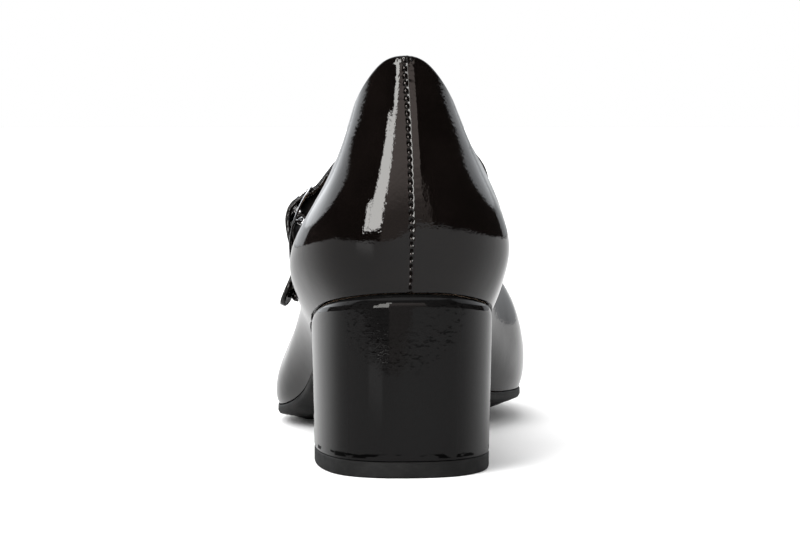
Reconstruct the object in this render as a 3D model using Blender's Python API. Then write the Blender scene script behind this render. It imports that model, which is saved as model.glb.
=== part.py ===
"""Left Mary Jane court shoe with a covered block heel, modelled empty and standing on the floor.

Millimetres in the tables, metres in the model. +Y points to the toe, +Z up, -X is the outer
(buckle) side. The origin is the middle of the top piece's walking face.
"""
from collections import namedtuple
import math

import bmesh
import bpy
import numpy as np
from mathutils import Matrix, Vector

# ---------------------------------------------------------------- driving sizes, millimetres
SHOE_NAME = "block_heel_mary_jane"
CUTTERS = "cutters"
MM = 0.001
TOP_PIECE_MIDDLE = 26.3       # walking face's middle, measured forward from the back of the heel
GAP = 0.3                     # clearance between pieces that meet
WALL = 1.8                    # upper: leather with lining
FOOT_OUT = 0.62               # a point between feather and widest line, share of the swell
FOOT_UP = 0.42                # and share of the widest line's height
FOOT_FLARE = 1.12             # the wall is cut level at the feather line, so it is wider there
TOPLINE_ROLL = 0.6            # how far the folded topline edge stands up
INSOLE_THICK = 2.2
INSOLE_FLARE = 0.5            # insole's top edge is this much wider than its underside
SOLE_THICK = 3.0
SOLE_WELT = 0.3               # sole edge stands out from the feather line by this much
SOLE_EDGE_BEVEL = 0.9
BREAST_FORWARD = 57.0         # front face of the heel at the seat
HEEL_BASE_UP = 5.0            # underside of the covered block
HEEL_BASE_WIDTH = 0.962       # block's width at the base against the seat
HEEL_BASE_LENGTH = 0.92
HEEL_BACK_OUT = 2.1           # the block's back leans out by this much at the base
HEEL_BASE_ACROSS = 0.6        # the base's middle, to the inner side of the back seam
HEEL_WAIST = 0.10             # how much the block's sides bow towards its base line
TOP_PIECE_THICK = 4.7
LATERAL_LEVEL = 0.66          # share of each half section that stays level across
MEDIAL_LEVEL = 0.42

SHARP_EDGE = 35.0             # degrees
PERIMETER_STEPS = 48          # steps along each side, heel back to toe tip
SOLE_ROWS = 40                # rows of the insole and outsole, heel to toe
HEEL_ROWS = 16                # rows of the heel, back to breast
END_CROWDING = 0.055          # draws steps closer together at the heel and toe
INSOLE_END = 2.0              # insole stops this far short of both ends of the feather line
OUTSOLE_END = 1.5
HEEL_END = 1.2
WALL_STEPS = 11               # steps from the feather line to the topline
SOLE_STEPS = 8                # steps across the sole

STRAP_THICK = 1.6
STRAP_WIDTH = 13.0
STRAP_FORWARD = 98.0          # strap's middle line, measured from the back of the heel
STRAP_STEPS = 54
FRAME_WIDTH = 20.4            # buckle, across the strap
FRAME_WIRE = 0.9              # radius of the frame's wire
BAR_RADIUS = 0.8
PRONG_RADIUS = 0.6
TAB_THICK = 1.2
TAB_WIDTH = 12.0
TAB_STEPS = 36
PRONG_SLOT = 2.6              # slot in the tab and hole in the strap, across
HOLE_CUT = 4.4                # length and depth of the cut for the strap's hole
HOLE_TURN = -45.0             # degrees, the strap's slope at the hole
SLOT_CUT_ACROSS = 9.0         # cut for the tab's slot round the bar
SLOT_CUT_UP = 5.6
SLOT_LIFT = 0.4
FRAME_CORNER = 2.2            # rounding of the buckle frame's corners
BAR_INSET = 1.2               # bar's ends bend over this length

# ---------------------------------------------------------------- section tables
# forward/across/seat: the feather line, where the upper meets the sole or the heel
# swell/swell_up: widest line of the wall, out from and above the feather line
# run/rise: a point on the wall above it; run is a share of the way in to the topline, rise is
# measured from the feather line; top_*: the topline; sag: how far the seat dips to the middle
Section = namedtuple(
    "Section", "forward across seat swell swell_up run rise top_forward top_across top_up")

HEEL_BACK = Section(3.6, 3.0, 53.2, 3.6, 15.6, 0.30, 41.6, 7.0, 1.2, 120.6)
LATERAL = (
    Section(4.8, -8.6, 52.7, 4.4, 15.0, 0.36, 39.4, 8.6, -5.9, 118.4),
    Section(10.2, -16.4, 51.3, 5.25, 14.7, 0.43, 37.0, 12.8, -10.9, 112.2),
    Section(18.0, -20.8, 49.8, 6.0, 14.6, 0.48, 35.2, 19.0, -13.7, 106.0),
    Section(27.0, -23.6, 48.0, 6.5, 14.7, 0.52, 34.8, 28.0, -15.3, 99.6),
    Section(41.0, -25.9, 45.0, 6.7, 14.4, 0.52, 32.9, 42.0, -17.9, 92.6),
    Section(57.0, -26.7, 41.0, 6.1, 14.5, 0.50, 31.5, 58.0, -21.2, 85.4),
    Section(75.0, -26.2, 35.2, 5.5, 14.4, 0.47, 30.9, 75.0, -23.8, 77.4),
    Section(92.0, -26.2, 28.2, 5.1, 13.4, 0.49, 29.2, 92.0, -25.2, 70.2),
    Section(108.0, -27.8, 20.6, 4.8, 12.0, 0.50, 28.8, 107.0, -25.6, 64.5),
    Section(122.0, -31.0, 13.4, 4.2, 10.0, 0.42, 28.2, 120.0, -25.2, 60.5),
    Section(136.0, -36.0, 8.3, 2.6, 5.4, 0.30, 21.9, 132.0, -25.8, 58.3),
    Section(150.0, -39.4, 6.3, 1.1, 3.3, 0.23, 18.9, 143.0, -24.4, 57.6),
    Section(166.0, -39.7, 6.2, 0.9, 3.4, 0.19, 18.8, 151.5, -20.4, 57.4),
    Section(182.0, -37.9, 7.0, 1.2, 4.4, 0.17, 19.4, 155.8, -15.4, 57.4),
    Section(198.0, -34.2, 8.6, 1.7, 5.6, 0.15, 19.7, 158.0, -10.8, 57.5),
    Section(212.0, -28.4, 10.3, 2.4, 7.2, 0.13, 20.0, 159.0, -5.8, 57.6),
    Section(225.0, -20.4, 12.6, 2.5, 8.0, 0.12, 19.6, 159.4, -2.4, 57.7),
    Section(234.0, -10.0, 13.8, 2.5, 9.0, 0.10, 19.0, 159.5, 0.2, 57.8),
)
TOE_TIP = Section(237.6, 3.6, 14.3, 2.5, 9.4, 0.095, 19.0, 159.6, 2.2, 57.8)
MEDIAL = (
    Section(7.4, 15.4, 52.5, 4.0, 15.7, 0.36, 39.7, 8.8, 8.3, 118.4),
    Section(15.0, 22.2, 50.8, 4.7, 16.6, 0.42, 37.6, 13.2, 13.4, 112.2),
    Section(24.0, 25.8, 49.0, 5.3, 16.9, 0.41, 35.4, 19.6, 16.4, 106.0),
    Section(33.0, 27.1, 47.0, 5.2, 17.8, 0.36, 33.8, 29.0, 18.6, 99.6),
    Section(45.0, 27.1, 44.0, 5.1, 19.0, 0.27, 33.0, 43.0, 22.2, 92.6),
    Section(58.5, 25.2, 40.4, 5.6, 18.5, 0.28, 32.5, 58.5, 25.8, 85.6),
    Section(75.0, 21.4, 35.6, 6.2, 16.6, 0.38, 30.7, 75.0, 27.6, 78.2),
    Section(92.0, 18.6, 29.8, 6.8, 15.8, 0.45, 29.8, 92.0, 27.9, 72.0),
    Section(108.0, 19.0, 23.0, 7.0, 16.2, 0.45, 30.2, 107.0, 27.8, 66.6),
    Section(122.0, 22.6, 16.6, 6.6, 15.6, 0.42, 31.1, 120.0, 27.0, 62.3),
    Section(136.0, 28.6, 12.0, 5.6, 13.9, 0.32, 31.4, 132.0, 26.6, 60.0),
    Section(150.0, 35.0, 10.6, 3.6, 9.8, 0.20, 30.8, 143.0, 24.8, 58.5),
    Section(166.0, 39.2, 10.0, 1.9, 7.8, 0.20, 29.2, 151.5, 21.4, 58.0),
    Section(182.0, 39.6, 10.0, 1.5, 7.4, 0.21, 26.5, 155.8, 17.2, 57.8),
    Section(198.0, 36.8, 10.3, 2.1, 7.4, 0.18, 23.5, 158.0, 13.2, 57.8),
    Section(212.0, 32.0, 10.8, 2.4, 7.8, 0.15, 21.2, 159.0, 8.8, 57.8),
    Section(225.0, 25.0, 12.2, 2.4, 8.4, 0.12, 20.0, 159.4, 6.0, 57.8),
    Section(234.0, 16.0, 13.7, 2.5, 9.0, 0.10, 19.2, 159.5, 4.0, 57.8),
)
# seat dip to the middle of each section, heel back first and toe tip last
SEAT_SAG = (0.0, 0.3, 0.6, 0.8, 0.9, 1.0, 1.1, 1.3, 1.5, 2.0,
            1.8, 1.5, 1.7, 4.5, 5.9, 5.6, 4.4, 2.8, 1.3, 0.0)

# strap: path seen from behind, from inside the inner quarter over the instep to the tail
PathPoint = namedtuple("PathPoint", "across up")
STRAP_PATH = (
    PathPoint(21.6, 55.0), PathPoint(22.6, 63.0), PathPoint(23.8, 71.0),
    PathPoint(26.8, 79.6), PathPoint(25.6, 86.0), PathPoint(18.6, 93.2),
    PathPoint(8.0, 97.6), PathPoint(-4.0, 97.0), PathPoint(-13.0, 92.8),
    PathPoint(-19.6, 86.6), PathPoint(-26.7, 77.7), PathPoint(-31.0, 75.1),
    PathPoint(-33.8, 72.2), PathPoint(-34.2, 68.6), PathPoint(-33.1, 63.0),
    PathPoint(-32.0, 57.0), PathPoint(-32.5, 52.5), PathPoint(-34.4, 47.0),
    PathPoint(-36.6, 42.6),
)
# tab: from its sewn end on the outer quarter up and round the buckle's bar
TAB_PATH = (
    PathPoint(-32.2, 44.2), PathPoint(-31.1, 50.0), PathPoint(-29.9, 56.0),
    PathPoint(-29.0, 62.0), PathPoint(-28.9, 67.0), PathPoint(-29.2, 70.1),
    PathPoint(-30.8, 71.2), PathPoint(-32.3, 70.3), PathPoint(-32.5, 69.0),
)
# buckle frame's side, top to bottom, and its bar
FRAME_SIDE = (
    PathPoint(-28.1, 79.3), PathPoint(-31.2, 73.8), PathPoint(-33.3, 67.6),
    PathPoint(-34.2, 61.6), PathPoint(-34.0, 57.0),
)
BAR = PathPoint(-30.8, 69.5)
STRAP_HOLE = PathPoint(-32.9, 73.6)
PRONG_TIP_PATH = (
    PathPoint(-32.6, 71.2), PathPoint(-33.0, 73.6), PathPoint(-32.9, 76.0),
    PathPoint(-31.8, 78.2), PathPoint(-29.7, 80.6),
)

MATERIALS = {
    "patent_leather": ((0.022, 0.008, 0.008, 1.0), 0.08, 0.0),
    "sole_black": ((0.012, 0.012, 0.012, 1.0), 0.55, 0.0),
    "top_piece_rubber": ((0.015, 0.015, 0.015, 1.0), 0.75, 0.0),
    "insole_leather": ((0.30, 0.22, 0.16, 1.0), 0.60, 0.0),
    "buckle_metal": ((0.75, 0.75, 0.76, 1.0), 0.18, 1.0),
}


# ---------------------------------------------------------------- curves
def spline(knots, points, samples, closed):
    """Cubic spline through the points, curvature-continuous; closed or with free ends."""
    knots = np.asarray(knots, float)
    points = np.asarray(points, float)
    spans = np.diff(knots)
    count = len(points)
    matrix = np.zeros((count, count))
    right = np.zeros_like(points)
    for i in range(count):
        if not closed and i in (0, count - 1):
            matrix[i, i] = 1.0
            continue
        before = spans[i - 1]
        after = spans[i]
        previous = (i - 1) % count
        following = (i + 1) % count
        matrix[i, previous] += before
        matrix[i, i] += 2.0 * (before + after)
        matrix[i, following] += after
        rise = (points[following] - points[i]) / after
        fall = (points[i] - points[previous]) / before
        right[i] = 6.0 * (rise - fall)
    bend = np.linalg.solve(matrix, right)
    if closed:
        points = np.vstack((points, points[:1]))
        bend = np.vstack((bend, bend[:1]))
    place = np.clip(np.searchsorted(knots, samples, side="right") - 1, 0, len(spans) - 1)
    span = spans[place][:, None]
    right_share = (np.asarray(samples, float) - knots[place])[:, None] / span
    left_share = 1.0 - right_share
    blend = left_share * points[place] + right_share * points[place + 1]
    left_cubic = (left_share ** 3 - left_share) * bend[place]
    right_cubic = (right_share ** 3 - right_share) * bend[place + 1]
    return blend + (left_cubic + right_cubic) * span ** 2 / 6.0


def chord_knots(points):
    steps = np.linalg.norm(np.diff(points, axis=0), axis=1)
    return np.concatenate(([0.0], np.cumsum(steps)))


def half_knots():
    """One knot per section, shared by both sides so that sections face each other."""
    lateral = np.array((HEEL_BACK,) + LATERAL + (TOE_TIP,))[:, :2]
    medial = np.array((HEEL_BACK,) + MEDIAL + (TOE_TIP,))[:, :2]
    return 0.5 * (chord_knots(lateral) + chord_knots(medial))


def full_knots():
    half = half_knots()
    return np.concatenate((half, 2.0 * half[-1] - half[-2::-1]))


def sections_around():
    return np.array((HEEL_BACK,) + LATERAL + (TOE_TIP,) + MEDIAL[::-1])


def sag_around():
    sag = np.array(SEAT_SAG)
    return np.concatenate((sag, sag[-2:0:-1]))[:, None]


def perimeter_places(steps):
    """Places round the shoe, closer together at the heel and toe curves."""
    share = np.linspace(0.0, 1.0, steps + 1)
    share = share - END_CROWDING * np.sin(2.0 * np.pi * share)
    half = share * half_knots()[-1]
    return np.concatenate((half, 2.0 * half[-1] - half[-2:0:-1]))


def sections_at(places):
    return spline(full_knots(), sections_around(), places, True)


def outward(places):
    """Plan direction square to the feather line."""
    step = 0.5
    total = full_knots()[-1]
    ahead = sections_at((places + step) % total)[:, :2]
    behind = sections_at((places - step) % total)[:, :2]
    travel = ahead - behind
    travel /= np.linalg.norm(travel, axis=1)[:, None]
    return np.stack((-travel[:, 0], travel[:, 1]), axis=1)


def feather_line(places):
    section = sections_at(places)
    return np.stack((section[:, 1], section[:, 0], section[:, 2]), axis=1)


# ---------------------------------------------------------------- upper
def wall_levels(places):
    """Feather, foot, widest, shoulder and topline points of every section."""
    table = Section(*sections_at(places).T)
    side = outward(places)
    feather = np.stack((table.across, table.forward, table.seat), axis=1)
    side = np.stack((side[:, 0], side[:, 1], np.zeros(len(places))), axis=1)
    up = np.array((0.0, 0.0, 1.0))
    foot = feather + side * (FOOT_OUT * table.swell)[:, None] + up * (FOOT_UP * table.swell_up)[:, None]
    widest = feather + side * table.swell[:, None] + up * table.swell_up[:, None]
    top = np.stack((table.top_across, table.top_forward, table.top_up), axis=1)
    shoulder = widest + (top - widest) * table.run[:, None]
    shoulder[:, 2] = table.seat + table.rise
    return np.stack((feather, foot, widest, shoulder, top), axis=1)


def wall_surface(places, shares):
    rows = []
    for levels in wall_levels(places):
        knots = chord_knots(levels)
        rows.append(spline(knots, levels, shares * knots[-1], False))
    return np.array(rows)


def surface_normals(grid):
    around = np.roll(grid, -1, axis=0) - np.roll(grid, 1, axis=0)
    upward = np.gradient(grid, axis=1)
    normal = np.cross(upward, around)
    return normal / np.linalg.norm(normal, axis=2)[:, :, None]


def bottom_inset(places, distance):
    """Feather line moved inwards along the seat."""
    line = feather_line(places)
    side = outward(places)
    line[:, :2] -= side * np.reshape(distance, (-1, 1))
    return line


def rim_direction(outer, normal):
    """Up along the wall at the topline."""
    around = np.roll(outer, -1, axis=0)[:, -1] - np.roll(outer, 1, axis=0)[:, -1]
    along = np.cross(normal[:, -1], around)
    along /= np.linalg.norm(along, axis=1)[:, None]
    return along * np.sign(along[:, 2])[:, None]


def upper_loops():
    """Loops of points up the outside, over the rolled topline and down the inside."""
    places = perimeter_places(PERIMETER_STEPS)
    shares = np.linspace(0.0, 1.0, WALL_STEPS + 1)
    outer = wall_surface(places, shares)
    normal = surface_normals(outer)
    inner = outer - normal * WALL
    inner[:, 0] = bottom_inset(places, WALL * FOOT_FLARE)
    along = rim_direction(outer, normal)
    loops = [outer[:, i] for i in range(WALL_STEPS + 1)]
    for depth, lift in ((0.2, 0.8), (0.5, 1.0), (0.8, 0.8)):
        loops.append(outer[:, -1] - normal[:, -1] * WALL * depth + along * TOPLINE_ROLL * lift)
    loops += [inner[:, i] for i in range(WALL_STEPS, -1, -1)]
    return loops


# ---------------------------------------------------------------- seat, sole and heel
def dip(shares):
    """Cross-section of the seat: flat in the middle, rising to the edges."""
    away = np.abs(2.0 * shares - 1.0)
    level = np.where(shares < 0.5, LATERAL_LEVEL, MEDIAL_LEVEL)
    climb = np.clip((away - level) / (1.0 - level), 0.0, 1.0)
    return 1.0 - climb ** 2


def seat_rows(places, inset, widen, shares):
    """Rows from the outer to the inner feather line that follow the underside of the foot."""
    total = full_knots()[-1]
    lateral = bottom_inset(places, inset - widen)
    medial = bottom_inset(total - places, inset - widen)
    sag = spline(full_knots(), sag_around(), places, True)[:, 0]
    rows = []
    for left, right, depth in zip(lateral, medial, sag):
        row = left + (right - left) * shares[:, None]
        row[:, 2] -= depth * dip(shares)
        rows.append(row)
    return np.array(rows)


def cross_shares():
    """Shares across the sole, closer together at its edges."""
    return 0.5 - 0.5 * np.cos(np.linspace(0.0, math.pi, SOLE_STEPS + 1))


def breast_place():
    places = np.linspace(0.0, half_knots()[-1], 400)
    forward = 0.5 * (sections_at(places)[:, 0] + sections_at(full_knots()[-1] - places)[:, 0])
    return float(np.interp(BREAST_FORWARD, forward, places))


def floor_trim(rows):
    """Level tread: nothing of the sole drops under the floor plane."""
    rows[:, :, 2] = np.maximum(rows[:, :, 2], 0.0)
    return rows


def mesh_object(name, material, points, faces):
    mesh = bpy.data.meshes.new(name)
    shifted = np.array(points) * MM
    shifted[:, 1] -= TOP_PIECE_MIDDLE * MM
    mesh.from_pydata([tuple(point) for point in shifted], [], faces)
    mesh.validate()
    item = bpy.data.objects.new(name, mesh)
    mesh.materials.append(bpy.data.materials[material])
    bpy.data.collections[SHOE_NAME].objects.link(item)
    mesh.shade_smooth()
    mesh.set_sharp_from_angle(angle=math.radians(SHARP_EDGE))
    return item


def loop_faces(loop_count, size, closed_loops):
    """Quads between neighbouring loops of the same size; the last may join the first."""
    faces = []
    last = loop_count if closed_loops else loop_count - 1
    for i in range(last):
        here = i * size
        there = ((i + 1) % loop_count) * size
        for j in range(size):
            k = (j + 1) % size
            faces.append((here + j, there + j, there + k, here + k))
    return faces


def sheet_solid(name, material, upper_rows, lower_rows, edge_rings):
    """Closed body between two grids of rows; edge_rings are rim loops from top to bottom."""
    rows, across = upper_rows.shape[:2]
    top = [tuple(point) for row in upper_rows for point in row]
    bottom = [tuple(point) for row in lower_rows for point in row]
    faces = []
    for i in range(rows - 1):
        for j in range(across - 1):
            a = i * across + j
            b = a + across
            faces.append((a, a + 1, b + 1, b))
            low = len(top)
            faces.append((low + a, low + b, low + b + 1, low + a + 1))
    rim = rim_indices(rows, across)
    points = top + bottom
    chain = [rim]
    for ring in edge_rings:
        start = len(points)
        points += [tuple(point) for point in ring]
        chain.append([start + k for k in range(len(ring))])
    chain.append([len(top) + index for index in rim])
    for above, below in zip(chain[:-1], chain[1:]):
        for k in range(len(rim)):
            m = (k + 1) % len(rim)
            faces.append((above[k], below[k], below[m], above[m]))
    return mesh_object(name, material, points, faces)


def rim_indices(rows, across):
    first = list(range(across - 1, 0, -1))
    left = [i * across for i in range(rows - 1)]
    last = [(rows - 1) * across + j for j in range(across - 1)]
    right = [i * across + across - 1 for i in range(rows - 1, 0, -1)]
    return first + left + last + right


def rim_points(grid):
    rows, across = grid.shape[:2]
    flat = grid.reshape(-1, 3)
    return flat[rim_indices(rows, across)]


def end_safe_places(start, finish, steps):
    """Places along one side that stop just short of the heel back and toe tip."""
    share = np.linspace(0.0, 1.0, steps + 1)
    share = share - END_CROWDING * np.sin(2.0 * np.pi * share)
    return start + (finish - start) * share


# ---------------------------------------------------------------- bars and bands
def tube(name, material, path, radius, sides, closed):
    """Round wire along a path."""
    curve = bpy.data.curves.new(name, "CURVE")
    curve.dimensions = "3D"
    curve.bevel_depth = radius * MM
    curve.bevel_resolution = max(0, sides // 4 - 1)
    curve.use_fill_caps = not closed
    line = curve.splines.new("POLY")
    line.points.add(len(path) - 1)
    for point, target in zip(line.points, path):
        place = np.array(target) * MM
        point.co = (place[0], place[1] - TOP_PIECE_MIDDLE * MM, place[2], 1.0)
    line.use_cyclic_u = closed
    holder = bpy.data.objects.new(name + "_wire", curve)
    bpy.data.collections[SHOE_NAME].objects.link(holder)
    depsgraph = bpy.context.evaluated_depsgraph_get()
    mesh = bpy.data.meshes.new_from_object(holder.evaluated_get(depsgraph))
    bpy.data.objects.remove(holder)
    item = bpy.data.objects.new(name, mesh)
    mesh.materials.clear()
    mesh.materials.append(bpy.data.materials[material])
    bpy.data.collections[SHOE_NAME].objects.link(item)
    weld(item)
    mesh.shade_smooth()
    return item


def weld(item):
    body = bmesh.new()
    body.from_mesh(item.data)
    bmesh.ops.remove_doubles(body, verts=body.verts, dist=1e-6)
    bmesh.ops.recalc_face_normals(body, faces=body.faces)
    body.to_mesh(item.data)
    body.free()


def path_points(table, steps):
    points = np.array(table)
    knots = chord_knots(points)
    return spline(knots, points, np.linspace(0.0, knots[-1], steps + 1), False)


def path_normals(points):
    travel = np.gradient(points, axis=0)
    travel /= np.linalg.norm(travel, axis=1)[:, None]
    return np.stack((-travel[:, 1], travel[:, 0]), axis=1)


def band(name, material, points, widths, thick, forward):
    """Flat strip with softened edges along a path seen from behind."""
    normal = path_normals(points)
    loops = []
    for place, side, width in zip(points, normal, widths):
        half = 0.5 * width
        corner = min(0.5, 0.3 * thick, 0.3 * half)
        outline = (
            (-half, -0.5 * thick + corner), (-half, 0.5 * thick - corner),
            (-half + corner, 0.5 * thick), (half - corner, 0.5 * thick),
            (half, 0.5 * thick - corner), (half, -0.5 * thick + corner),
            (half - corner, -0.5 * thick), (-half + corner, -0.5 * thick))
        loops.append([
            (place[0] + side[0] * lift, forward + along, place[1] + side[1] * lift)
            for along, lift in outline])
    points_flat = [point for loop in loops for point in loop]
    size = len(loops[0])
    faces = loop_faces(len(loops), size, False)
    faces.append(tuple(range(size)))
    faces.append(tuple(range(len(points_flat) - 1, len(points_flat) - size - 1, -1)))
    item = mesh_object(name, material, points_flat, faces)
    weld(item)
    return item


# ---------------------------------------------------------------- pieces
def make_upper():
    loops = upper_loops()
    points = [tuple(point) for loop in loops for point in loop]
    faces = loop_faces(len(loops), len(loops[0]), True)
    item = mesh_object("upper", "patent_leather", points, faces)
    weld(item)
    return item


def make_insole():
    shares = cross_shares()
    half = half_knots()[-1]
    places = end_safe_places(INSOLE_END, half - INSOLE_END, SOLE_ROWS)
    inset = WALL * FOOT_FLARE + GAP + 0.1
    low = seat_rows(places, inset, 0.0, shares)
    high = seat_rows(places, inset, INSOLE_FLARE, shares)
    high[:, :, 2] += INSOLE_THICK
    item = sheet_solid("insole", "insole_leather", high, low, [])
    weld(item)
    return item


def make_outsole():
    shares = cross_shares()
    half = half_knots()[-1]
    places = end_safe_places(breast_place() + GAP, half - OUTSOLE_END, SOLE_ROWS)
    high = seat_rows(places, 0.0, SOLE_WELT, shares)
    high[:, :, 2] -= GAP
    low = seat_rows(places, SOLE_EDGE_BEVEL, SOLE_WELT, shares)
    low[:, :, 2] -= GAP + SOLE_THICK
    low = floor_trim(low)
    ring = rim_points(seat_rows(places, 0.0, SOLE_WELT, shares))
    ring[:, 2] -= GAP + SOLE_THICK - SOLE_EDGE_BEVEL
    item = sheet_solid("outsole", "sole_black", high, low, [ring])
    weld(item)
    return item


def heel_rows():
    shares = cross_shares()
    places = end_safe_places(HEEL_END, breast_place(), HEEL_ROWS)
    rows = seat_rows(places, 0.0, 0.0, shares)
    rows[:, :, 2] -= GAP
    return rows


def heel_base(rows, up):
    base = rows.copy()
    back = rows[:, :, 1].min() - HEEL_BACK_OUT
    base[:, :, 0] = HEEL_BASE_ACROSS + (rows[:, :, 0] - HEEL_BASE_ACROSS) * HEEL_BASE_WIDTH
    base[:, :, 1] = back + (rows[:, :, 1] - rows[:, :, 1].min()) * HEEL_BASE_LENGTH
    base[:, :, 2] = up
    return base


def make_heel_block():
    rows = heel_rows()
    base = heel_base(rows, HEEL_BASE_UP)
    rings = []
    for share in (0.04, 0.25, 0.5, 0.75, 0.985):
        ease = share - HEEL_WAIST * math.sin(math.pi * share) * (1.0 - share)
        travel = rim_points(base) - rim_points(rows)
        travel[:, :2] *= ease
        travel[:, 2] *= share
        rings.append(rim_points(rows) + travel)
    item = sheet_solid("heel_block", "patent_leather", rows, base, rings)
    weld(item)
    return item


def make_top_piece():
    rows = heel_rows()
    high = heel_base(rows, TOP_PIECE_THICK)
    low = heel_base(rows, 0.0)
    item = sheet_solid("heel_top_piece", "top_piece_rubber", high, low, [])
    weld(item)
    return item


def tapered(count, full, end_shares):
    widths = np.full(count, full)
    widths[-len(end_shares):] = np.array(end_shares) * full
    return widths


def make_strap():
    points = path_points(STRAP_PATH, STRAP_STEPS)
    widths = tapered(len(points), STRAP_WIDTH, (0.98, 0.9, 0.74, 0.46))
    item = band("strap", "patent_leather", points, widths, STRAP_THICK, STRAP_FORWARD)
    size = (HOLE_CUT, PRONG_SLOT, HOLE_CUT)
    place = (STRAP_HOLE.across, STRAP_FORWARD, STRAP_HOLE.up)
    combine(item, cutter_box("strap_hole", place, size, HOLE_TURN), "DIFFERENCE")
    return item


def make_tab():
    points = path_points(TAB_PATH, TAB_STEPS)
    widths = tapered(len(points), TAB_WIDTH, (1.0,))
    item = band("buckle_tab", "patent_leather", points, widths, TAB_THICK, STRAP_FORWARD)
    size = (SLOT_CUT_ACROSS, PRONG_SLOT, SLOT_CUT_UP)
    place = (BAR.across, STRAP_FORWARD, BAR.up + SLOT_LIFT)
    combine(item, cutter_box("tab_slot", place, size, 0.0), "DIFFERENCE")
    return item


def frame_ring():
    side = path_points(FRAME_SIDE, 10)
    half = 0.5 * FRAME_WIDTH - FRAME_WIRE
    ring = []
    for sign, order in ((1.0, side), (-1.0, side[::-1])):
        for point in order[1:-1]:
            ring.append((point[0], STRAP_FORWARD + sign * half, point[1]))
        end = order[-1]
        for share in (0.35, 0.75, 1.0):
            along = half - FRAME_CORNER * share ** 1.6
            ring.append((end[0], STRAP_FORWARD + sign * along, end[1]))
        ring.append((end[0], STRAP_FORWARD - sign * (half - FRAME_CORNER), end[1]))
        ring.append((end[0], STRAP_FORWARD - sign * (half - FRAME_CORNER * 0.4), end[1]))
    return ring


def make_frame():
    item = tube("buckle_frame", "buckle_metal", frame_ring(), FRAME_WIRE, 12, True)
    half = 0.5 * FRAME_WIDTH - FRAME_WIRE
    side = path_points(FRAME_SIDE, 40)
    level = int(np.argmin(np.abs(side[:, 1] - BAR.up)))
    wire = side[level]
    path = [
        (wire[0], STRAP_FORWARD - half, BAR.up),
        (BAR.across, STRAP_FORWARD - half + BAR_INSET, BAR.up),
        (BAR.across, STRAP_FORWARD + half - BAR_INSET, BAR.up),
        (wire[0], STRAP_FORWARD + half, BAR.up)]
    bar = tube("buckle_bar", "buckle_metal", path, BAR_RADIUS, 12, False)
    bpy.data.collections[SHOE_NAME].objects.unlink(bar)
    bpy.data.collections[CUTTERS].objects.link(bar)
    combine(item, hide_tool(bar), "UNION")
    return item


def make_prong():
    reach = BAR_RADIUS + GAP + PRONG_RADIUS
    path = []
    for step in range(9):
        turn = math.radians(60.0 - 30.0 * step)
        path.append((
            BAR.across + reach * math.cos(turn), STRAP_FORWARD, BAR.up + reach * math.sin(turn)))
    path += [(point.across, STRAP_FORWARD, point.up) for point in PRONG_TIP_PATH]
    return tube("buckle_prong", "buckle_metal", path, PRONG_RADIUS, 12, False)


def cutter_box(name, middle, size, turn):
    """Box used only for cutting, turned about the forward axis by a number of degrees."""
    body = bmesh.new()
    bmesh.ops.create_cube(body, size=1.0)
    place = Vector((middle[0], middle[1] - TOP_PIECE_MIDDLE, middle[2])) * MM
    matrix = Matrix.Translation(place) @ Matrix.Rotation(math.radians(turn), 4, "Y")
    matrix = matrix @ Matrix.Diagonal((size[0] * MM, size[1] * MM, size[2] * MM, 1.0))
    bmesh.ops.transform(body, matrix=matrix, verts=body.verts)
    mesh = bpy.data.meshes.new(name)
    body.to_mesh(mesh)
    body.free()
    item = bpy.data.objects.new(name, mesh)
    bpy.data.collections[CUTTERS].objects.link(item)
    return hide_tool(item)


def hide_tool(item):
    item.hide_render = True
    item.display_type = "WIRE"
    return item


def combine(item, other, operation):
    modifier = item.modifiers.new(operation.lower(), "BOOLEAN")
    modifier.operation = operation
    modifier.solver = "EXACT"
    modifier.object = other


def make_materials():
    for name, (colour, rough, metal) in MATERIALS.items():
        material = bpy.data.materials.new(name)
        material.use_nodes = True
        material.diffuse_color = colour
        shader = material.node_tree.nodes["Principled BSDF"]
        shader.inputs["Base Color"].default_value = colour
        shader.inputs["Roughness"].default_value = rough
        shader.inputs["Metallic"].default_value = metal


def main():
    for item in list(bpy.data.objects):
        bpy.data.objects.remove(item)
    for name in (SHOE_NAME, CUTTERS):
        bpy.context.scene.collection.children.link(bpy.data.collections.new(name))
    make_materials()
    make_upper()
    make_insole()
    make_outsole()
    make_heel_block()
    make_top_piece()
    make_strap()
    make_tab()
    make_frame()
    make_prong()


main()
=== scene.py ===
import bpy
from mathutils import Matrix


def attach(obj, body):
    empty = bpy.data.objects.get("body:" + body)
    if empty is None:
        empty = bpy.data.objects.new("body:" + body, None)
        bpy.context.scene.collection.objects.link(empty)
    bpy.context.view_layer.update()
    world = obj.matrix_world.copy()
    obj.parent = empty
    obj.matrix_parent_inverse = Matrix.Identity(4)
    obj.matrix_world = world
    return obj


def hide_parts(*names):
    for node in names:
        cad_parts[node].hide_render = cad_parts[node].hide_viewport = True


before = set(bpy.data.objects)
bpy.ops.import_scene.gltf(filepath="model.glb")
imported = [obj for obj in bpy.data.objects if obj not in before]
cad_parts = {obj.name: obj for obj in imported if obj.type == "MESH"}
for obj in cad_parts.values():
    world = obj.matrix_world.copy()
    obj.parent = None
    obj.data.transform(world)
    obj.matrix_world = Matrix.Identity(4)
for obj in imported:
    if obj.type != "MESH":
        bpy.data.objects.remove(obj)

"""Left block-heel Mary Jane in patent leather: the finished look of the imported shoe.

Tables are in millimetres, meshes in metres. +Y points to the toe, +Z up and -X to the buckle side.
"""
from collections import namedtuple
import math

import bmesh
import bpy
from bpy.props import FloatProperty, FloatVectorProperty, IntProperty, PointerProperty
from bpy.types import Operator, Panel, PropertyGroup
from mathutils import Matrix, Vector, noise
import numpy as np

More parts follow.
